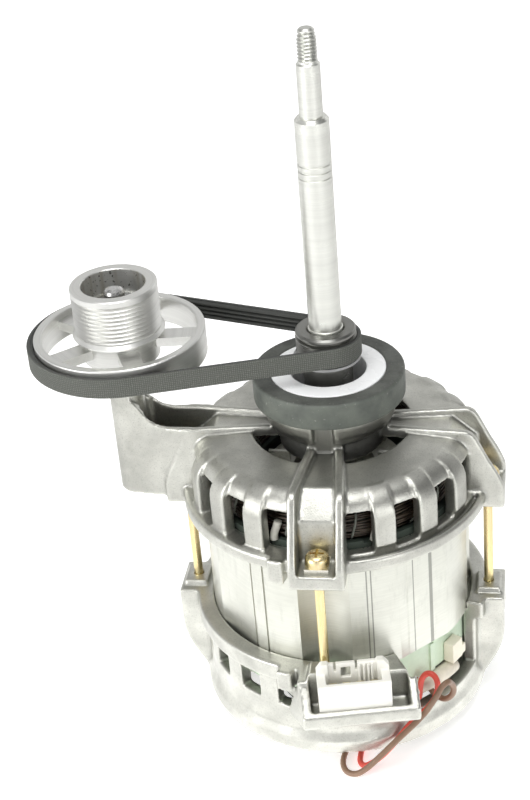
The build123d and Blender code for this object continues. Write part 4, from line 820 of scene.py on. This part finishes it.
class MOTOR_OT_fins(MotorOperator):
    """Upright fins on the connector's back wall, beside its latch"""

    bl_idname = "motor.fins"
    bl_label = "Connector fins"

    def execute(self, context):
        turn = math.radians(CONNECTOR_ANGLE)
        out = np.array((math.cos(turn), math.sin(turn), 0.0))
        along = np.array((-math.sin(turn), math.cos(turn), 0.0))
        corner = np.array(FIN_SECTION)
        fins = np.array(CONNECTOR_FINS)[:, None, None, None]
        lift = np.array((CONNECTOR_FIN_FOOT, CONNECTOR_FIN_TOP))[None, :, None, None]
        side, deep = corner[:, 0][None, None, :, None], corner[:, 1][None, None, :, None]
        points = MM * ((fins + side) * along + (CONNECTOR_WALL + deep) * out
                       + lift * np.array((0.0, 0.0, 1.0)))
        count = len(FIN_SECTION)
        one = [tuple(range(count))[::-1], tuple(range(count, 2 * count))]
        one += [(i, (i + 1) % count, count + (i + 1) % count, count + i) for i in range(count)]
        faces = [[2 * count * k + i for i in face] for k in range(len(CONNECTOR_FINS)) for face in one]
        mesh = bpy.data.meshes.new("connector_fins")
        mesh.from_pydata(points.reshape(-1, 3).tolist(), [], faces)
        piece = bpy.data.objects.new("connector_fins", mesh)
        context.scene.collection.objects.link(piece)
        finish_piece(piece, FINISHES["connector"], "motor_body", "connector_plastic")
        return {"FINISHED"}


class MOTOR_OT_rings(MotorOperator):
    """Rubber mounting rings and white sleeves, turned profiles with rounded edges"""

    bl_idname = "motor.rings"
    bl_label = "Mounting rings"

    def execute(self, context):
        for place in ("upper", "lower"):
            low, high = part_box(f"{place}_mount_ring")
            low_in, high_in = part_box(f"{place}_ring_sleeve")
            outside, middle = high.x / MM, high_in.x / MM
            foot, bottom, top = low_in.z / MM, low.z / MM, high.z / MM
            skin = rounded(((middle, bottom), (outside, bottom), (outside, top), (middle, top)),
                           sizes().ring_round / MM)
            ring = lathe(f"{place}_ring_rubber", skin, sharp=50.0)
            finish_piece(ring, FINISHES["rubber"], "motor_body", "ring_rubber", f"{place}_mount_ring")
            wall = SLEEVE_BORE + SLEEVE_WALL
            skin = rounded(((SLEEVE_BORE, foot), (wall, foot), (wall, bottom), (middle, bottom),
                            (middle, top), (SLEEVE_BORE, top)), SLEEVE_ROUND)
            sleeve = lathe(f"{place}_sleeve", skin, sharp=50.0)
            finish_piece(sleeve, FINISHES["sleeve"], "motor_body", "white_plastic",
                         f"{place}_ring_sleeve")
        return {"FINISHED"}


class MOTOR_OT_shaft(MotorOperator):
    """Turned shaft with its marks, step and a real helical thread"""

    bl_idname = "motor.shaft"
    bl_label = "Shaft"

    def execute(self, context):
        low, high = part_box("rotor_shaft")
        top = high.z / MM
        seat_top = top - THREAD_LENGTH - THREAD_NECK
        long_top = seat_top - FAN_SEAT_LENGTH
        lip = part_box("motor_pulley")[1].z / MM + LIP_LIFT
        seat = lip - PULLEY_SEAT_LENGTH
        marks = [(SHAFT_RADIUS - cut, long_top - depth + along)
                 for depth in reversed(MARK_DEPTHS) for cut, along in MARK_SECTION]
        foot = [(0, low.z / MM), (SHAFT_FOOT_RADIUS, low.z / MM), (SHAFT_FOOT_RADIUS, seat),
                (PULLEY_SEAT_RADIUS, seat), (PULLEY_SEAT_RADIUS, lip - 0.2), (SHAFT_RADIUS, lip)]
        step = [(SHAFT_RADIUS, long_top - STEP_BEVEL_LENGTH), (SHAFT_RADIUS - STEP_BEVEL, long_top - 0.1),
                (FAN_SEAT_RADIUS, long_top), (FAN_SEAT_RADIUS, seat_top - 0.3)]
        heights = np.linspace(seat_top + 0.5, top - 0.7, THREAD_STEPS)
        worn = THREAD_TAPER * np.clip((heights - top) / TAPER_LENGTH + 1.0, 0.0, 1.0)
        thread = [(THREAD_RADIUS, seat_top + 0.2), *zip(THREAD_RADIUS - worn, heights)]
        tip = [(THREAD_RADIUS - THREAD_TAPER - TIP_BEVEL, top), (0, top)]
        profile = np.array(foot + marks + step + thread + tip)
        a = np.linspace(0, 2 * np.pi, SHAFT_SIDES, endpoint=False)[:, None]
        r, z = profile[:, 0][None], profile[:, 1][None]
        # The thread's depth follows the turns between a point and the crest, which climbs with the angle
        turn = (z / sizes().thread_pitch * MM - a / (2 * np.pi)) % 1.0
        inside = np.clip(np.minimum(z - heights[0], heights[-1] - z) / THREAD_RUN_OUT, 0.0, 1.0)
        r = r - inside * THREAD_DEPTH * np.abs(2 * turn - 1)
        faces = grid_faces(SHAFT_SIDES, len(profile), True, False)
        shaft = make_piece("turned_shaft", MM * around(r, a, z + 0 * a), faces, 32.0)
        finish_piece(shaft, FINISHES["shaft"], "rotor", "turned_steel", "rotor_shaft")
        return {"FINISHED"}


class MOTOR_OT_belt(MotorOperator):
    """Ribbed belt round both pulleys: its section carried along two arcs and two straight runs"""

    bl_idname = "motor.belt"
    bl_label = "Belt"

    def execute(self, context):
        low, high = (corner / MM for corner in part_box("drive_belt"))
        angle, centre, radius = belt_route(low, high)
        across, inward = belt_section(high.z - low.z)
        reach = (radius[:, None] - inward[None]) * MM
        x = centre[:, None] * MM + reach * np.cos(angle)[:, None]
        y = reach * np.sin(angle)[:, None]
        z = ((high.z + low.z) / 2 + across[None]) * MM + 0 * x
        faces = grid_faces(len(angle), len(across), True, True)
        belt = make_piece("ribbed_belt", np.stack([x, y, z], axis=-1), faces, 25.0)
        back = np.stack([centre + radius * np.cos(angle), radius * np.sin(angle)], axis=-1)
        steps = np.linalg.norm(np.diff(back, axis=0, append=back[:1]), axis=-1)
        along = np.concatenate([[0.0], np.cumsum(steps)])
        rim = np.concatenate([across, across[:1]])
        i, j = np.meshgrid(np.arange(len(angle)), np.arange(len(across)), indexing="ij")
        u = np.stack([along[i], along[i], along[i + 1], along[i + 1]], axis=-1)
        v = np.stack([rim[j], rim[j + 1], rim[j + 1], rim[j]], axis=-1)
        sheet = belt.data.uv_layers.new(name="UVMap")
        sheet.data.foreach_set("uv", np.stack([u, v], axis=-1).ravel())
        finish_piece(belt, FINISHES["fabric"], "motor_body", "belt_rubber", "drive_belt")
        belt.data.materials.append(FINISHES["ribs"])
        ribbed = (j > 1) & (j < len(across) - 2)
        belt.data.polygons.foreach_set("material_index", ribbed.astype(int).ravel())
        return {"FINISHED"}


class MOTOR_OT_windings(MotorOperator):
    """Both winding heads: a core ring, strands that wander round it and lacing cords across it"""

    bl_idname = "motor.windings"
    bl_label = "Winding heads"

    def execute(self, context):
        for place, nodes in (("upper", ("upper_winding", "upper_winding_turns")),
                             ("lower", ("lower_winding",))):
            self.add_head(place, nodes, sizes().wire_radius)
        return {"FINISHED"}

    def add_head(self, place, nodes, wire):
        """One winding head inside the box of the first of its nodes.

        A strand at angle a runs at its own turn of the section plus two slow sine waves of a. A lacing
        cord goes once round the section at its own angle plus a sine wave of its turn."""
        low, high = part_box(nodes[0])
        inner, outer = HEAD_INNER * MM + wire, high.x - wire
        middle = (inner + outer) / 2, (low.z + high.z) / 2
        half = (outer - inner) / 2 - wire, (high.z - low.z) / 2 - wire
        start = np.linspace(0, 2 * np.pi, sizes().strands, endpoint=False)[:, None]
        phase = start * 7.3
        a = np.linspace(0, 2 * np.pi, STRAND_STEPS)[None]
        turn = start + 0.10 * np.sin(4 * a + phase) + 0.07 * np.sin(6 * a + 2.1 * phase)
        r, z = head_section(turn, wire * 0.9 * np.sin(5 * a + 3.7 * phase), middle, half)
        coil = tubes(f"{place}_strands", around(r, a, z), wire, 5)
        finish_piece(coil, FINISHES["copper"], "motor_body", "copper_wire", *nodes)
        ring = np.linspace(0, 2 * np.pi, 40, endpoint=False)
        profile = np.stack(head_section(ring, -1.2 * wire, middle, half), axis=-1) / MM
        core = lathe(f"{place}_coil_core", profile, sharp=80.0)
        finish_piece(core, FINISHES["varnish"], "motor_body", "copper_wire")
        where = np.linspace(0, 2 * np.pi, sizes().lacings, endpoint=False)[:, None]
        b = np.linspace(0, 2 * np.pi, 33)[None]
        r, z = head_section(b + 0 * where, 1.3 * wire, middle, half)
        lace = tubes(f"{place}_lacing", around(r, where + 0.035 * np.sin(b), z), 1.1 * wire, 6)
        finish_piece(lace, FINISHES["lacing"], "motor_body", "copper_wire")


class MOTOR_OT_sleeving(MotorOperator):
    """White sleeves on the coils' ends behind the windows, and a cream one behind the red lead"""

    bl_idname = "motor.sleeving"
    bl_label = "Wire sleeves"

    def execute(self, context):
        low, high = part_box("upper_winding")
        t, shares = np.array(SLEEVE_RUN)[None], np.array(SLEEVE_SHARES)
        where = np.radians(SLEEVING_ANGLES)[:, None]
        reach = high.x + SLEEVING_RADIUS * MM * (0.9 - 0.5 * t) + 0 * where
        lift = low.z + MM + (high.z - low.z - 4 * MM) * t + 0 * where
        paths = around(reach, where + 0.02 * np.sin(3.0 * t + where), lift)
        sleeves = tubes("wire_sleeving", paths, SLEEVING_RADIUS * MM * shares, 14)
        finish_piece(sleeves, FINISHES["sleeving"], "motor_body", "white_plastic")
        a = np.radians(BUNDLE_START + (BUNDLE_END - BUNDLE_START) * t)
        paths = MM * around(BUNDLE_REACH, a, BUNDLE_HEIGHT + 0.5 * np.sin(5.0 * a))
        bundle = tubes("lead_bundle", paths, BUNDLE_RADIUS * MM * shares, 20)
        finish_piece(bundle, FINISHES["bundle"], "motor_body", "clip_plastic")
        return {"FINISHED"}


class MOTOR_OT_leads(MotorOperator):
    """Red and brown leads, each one smooth spline through the route's points"""

    bl_idname = "motor.leads"
    bl_label = "Leads"

    def execute(self, context):
        for name, route in (("red", RED_LEAD), ("brown", BROWN_LEAD)):
            curve = bpy.data.curves.new(f"{name}_lead_wire", "CURVE")
            curve.dimensions = "3D"
            curve.bevel_depth = sizes().lead_diameter / 2
            curve.bevel_resolution = 5
            curve.use_fill_caps = True
            spline = curve.splines.new("NURBS")
            spline.points.add(len(route) - 1)
            for point, place in zip(spline.points, route):
                point.co = (*(MM * part for part in place), 1.0)
            spline.order_u = 3
            spline.use_endpoint_u = True
            spline.resolution_u = 12
            lead = bpy.data.objects.new(f"{name}_lead_wire", curve)
            context.scene.collection.objects.link(lead)
            finish_piece(lead, FINISHES[name], "motor_body", f"lead_{name}", f"{name}_lead")
        return {"FINISHED"}


class MOTOR_OT_plain_nodes(MotorOperator):
    """Finishes of the nodes whose own shape shows"""

    bl_idname = "motor.plain_nodes"
    bl_label = "Finishes of the other parts"

    def execute(self, context):
        for finish, nodes in PLAIN_NODES.items():
            for node in nodes:
                dress(node, FINISHES[finish])
        return {"FINISHED"}


class MOTOR_OT_stage(MotorOperator):
    """Pale floor and backdrop, soft studio lamps and the photograph's camera"""

    bl_idname = "motor.stage"
    bl_label = "Stage"

    def execute(self, context):
        scene = context.scene
        camera = bpy.data.cameras.new("Photo camera")
        camera.lens = CAMERA_LENS
        camera.sensor_width = SENSOR_WIDTH
        camera.sensor_fit = "AUTO"
        camera.clip_start = 0.01
        viewer = bpy.data.objects.new("Photo camera", camera)
        turn = Matrix((CAMERA_RIGHT, CAMERA_UP, CAMERA_BACK)).transposed()
        viewer.matrix_world = Matrix.Translation(MM * Vector(CAMERA_PLACE)) @ turn.to_4x4()
        scene.collection.objects.link(viewer)
        scene.camera = viewer
        studio_floor()
        for lamp in LAMPS:
            scene.collection.objects.link(soft_box(*lamp))
        scene.world = studio_air()
        scene.view_settings.view_transform = "Standard"
        return {"FINISHED"}


class MOTOR_PT_panel(bpy.types.Panel):
    """Buttons that make the motor's pieces and its stage"""

    bl_label = "Dryer motor"
    bl_idname = "MOTOR_PT_panel"
    bl_space_type = "VIEW_3D"
    bl_region_type = "UI"
    bl_category = "Motor"

    def draw(self, context):
        for operator in OPERATORS:
            self.layout.operator(operator.bl_idname)


OPERATORS = (MOTOR_OT_leads, MOTOR_OT_castings, MOTOR_OT_fins, MOTOR_OT_rings, MOTOR_OT_shaft,
             MOTOR_OT_belt, MOTOR_OT_windings, MOTOR_OT_sleeving, MOTOR_OT_plain_nodes, MOTOR_OT_stage)
CLASSES = (MotorSizes, MotorColours, *OPERATORS, MOTOR_PT_panel)


def register():
    """Adds the classes and the scene's settings."""
    for each in CLASSES:
        bpy.utils.register_class(each)
    bpy.types.Scene.motor_sizes = PointerProperty(type=MotorSizes)
    bpy.types.Scene.motor_colours = PointerProperty(type=MotorColours)


def unregister():
    """Removes what register added."""
    del bpy.types.Scene.motor_colours
    del bpy.types.Scene.motor_sizes
    for each in reversed(CLASSES):
        bpy.utils.unregister_class(each)


# Node groups and materials by name, which main fills
GROUPS = {}
FINISHES = {}


def main():
    """Makes the whole scene."""
    register()
    GROUPS.update(grain=grain_group(), turning=turning_group())
    FINISHES.update(make_finishes())
    bpy.ops.motor.leads()
    bpy.ops.motor.castings()
    bpy.ops.motor.fins()
    bpy.ops.motor.rings()
    bpy.ops.motor.shaft()
    bpy.ops.motor.belt()
    bpy.ops.motor.windings()
    bpy.ops.motor.sleeving()
    bpy.ops.motor.plain_nodes()
    bpy.ops.motor.stage()


if __name__ == "__main__":
    main()
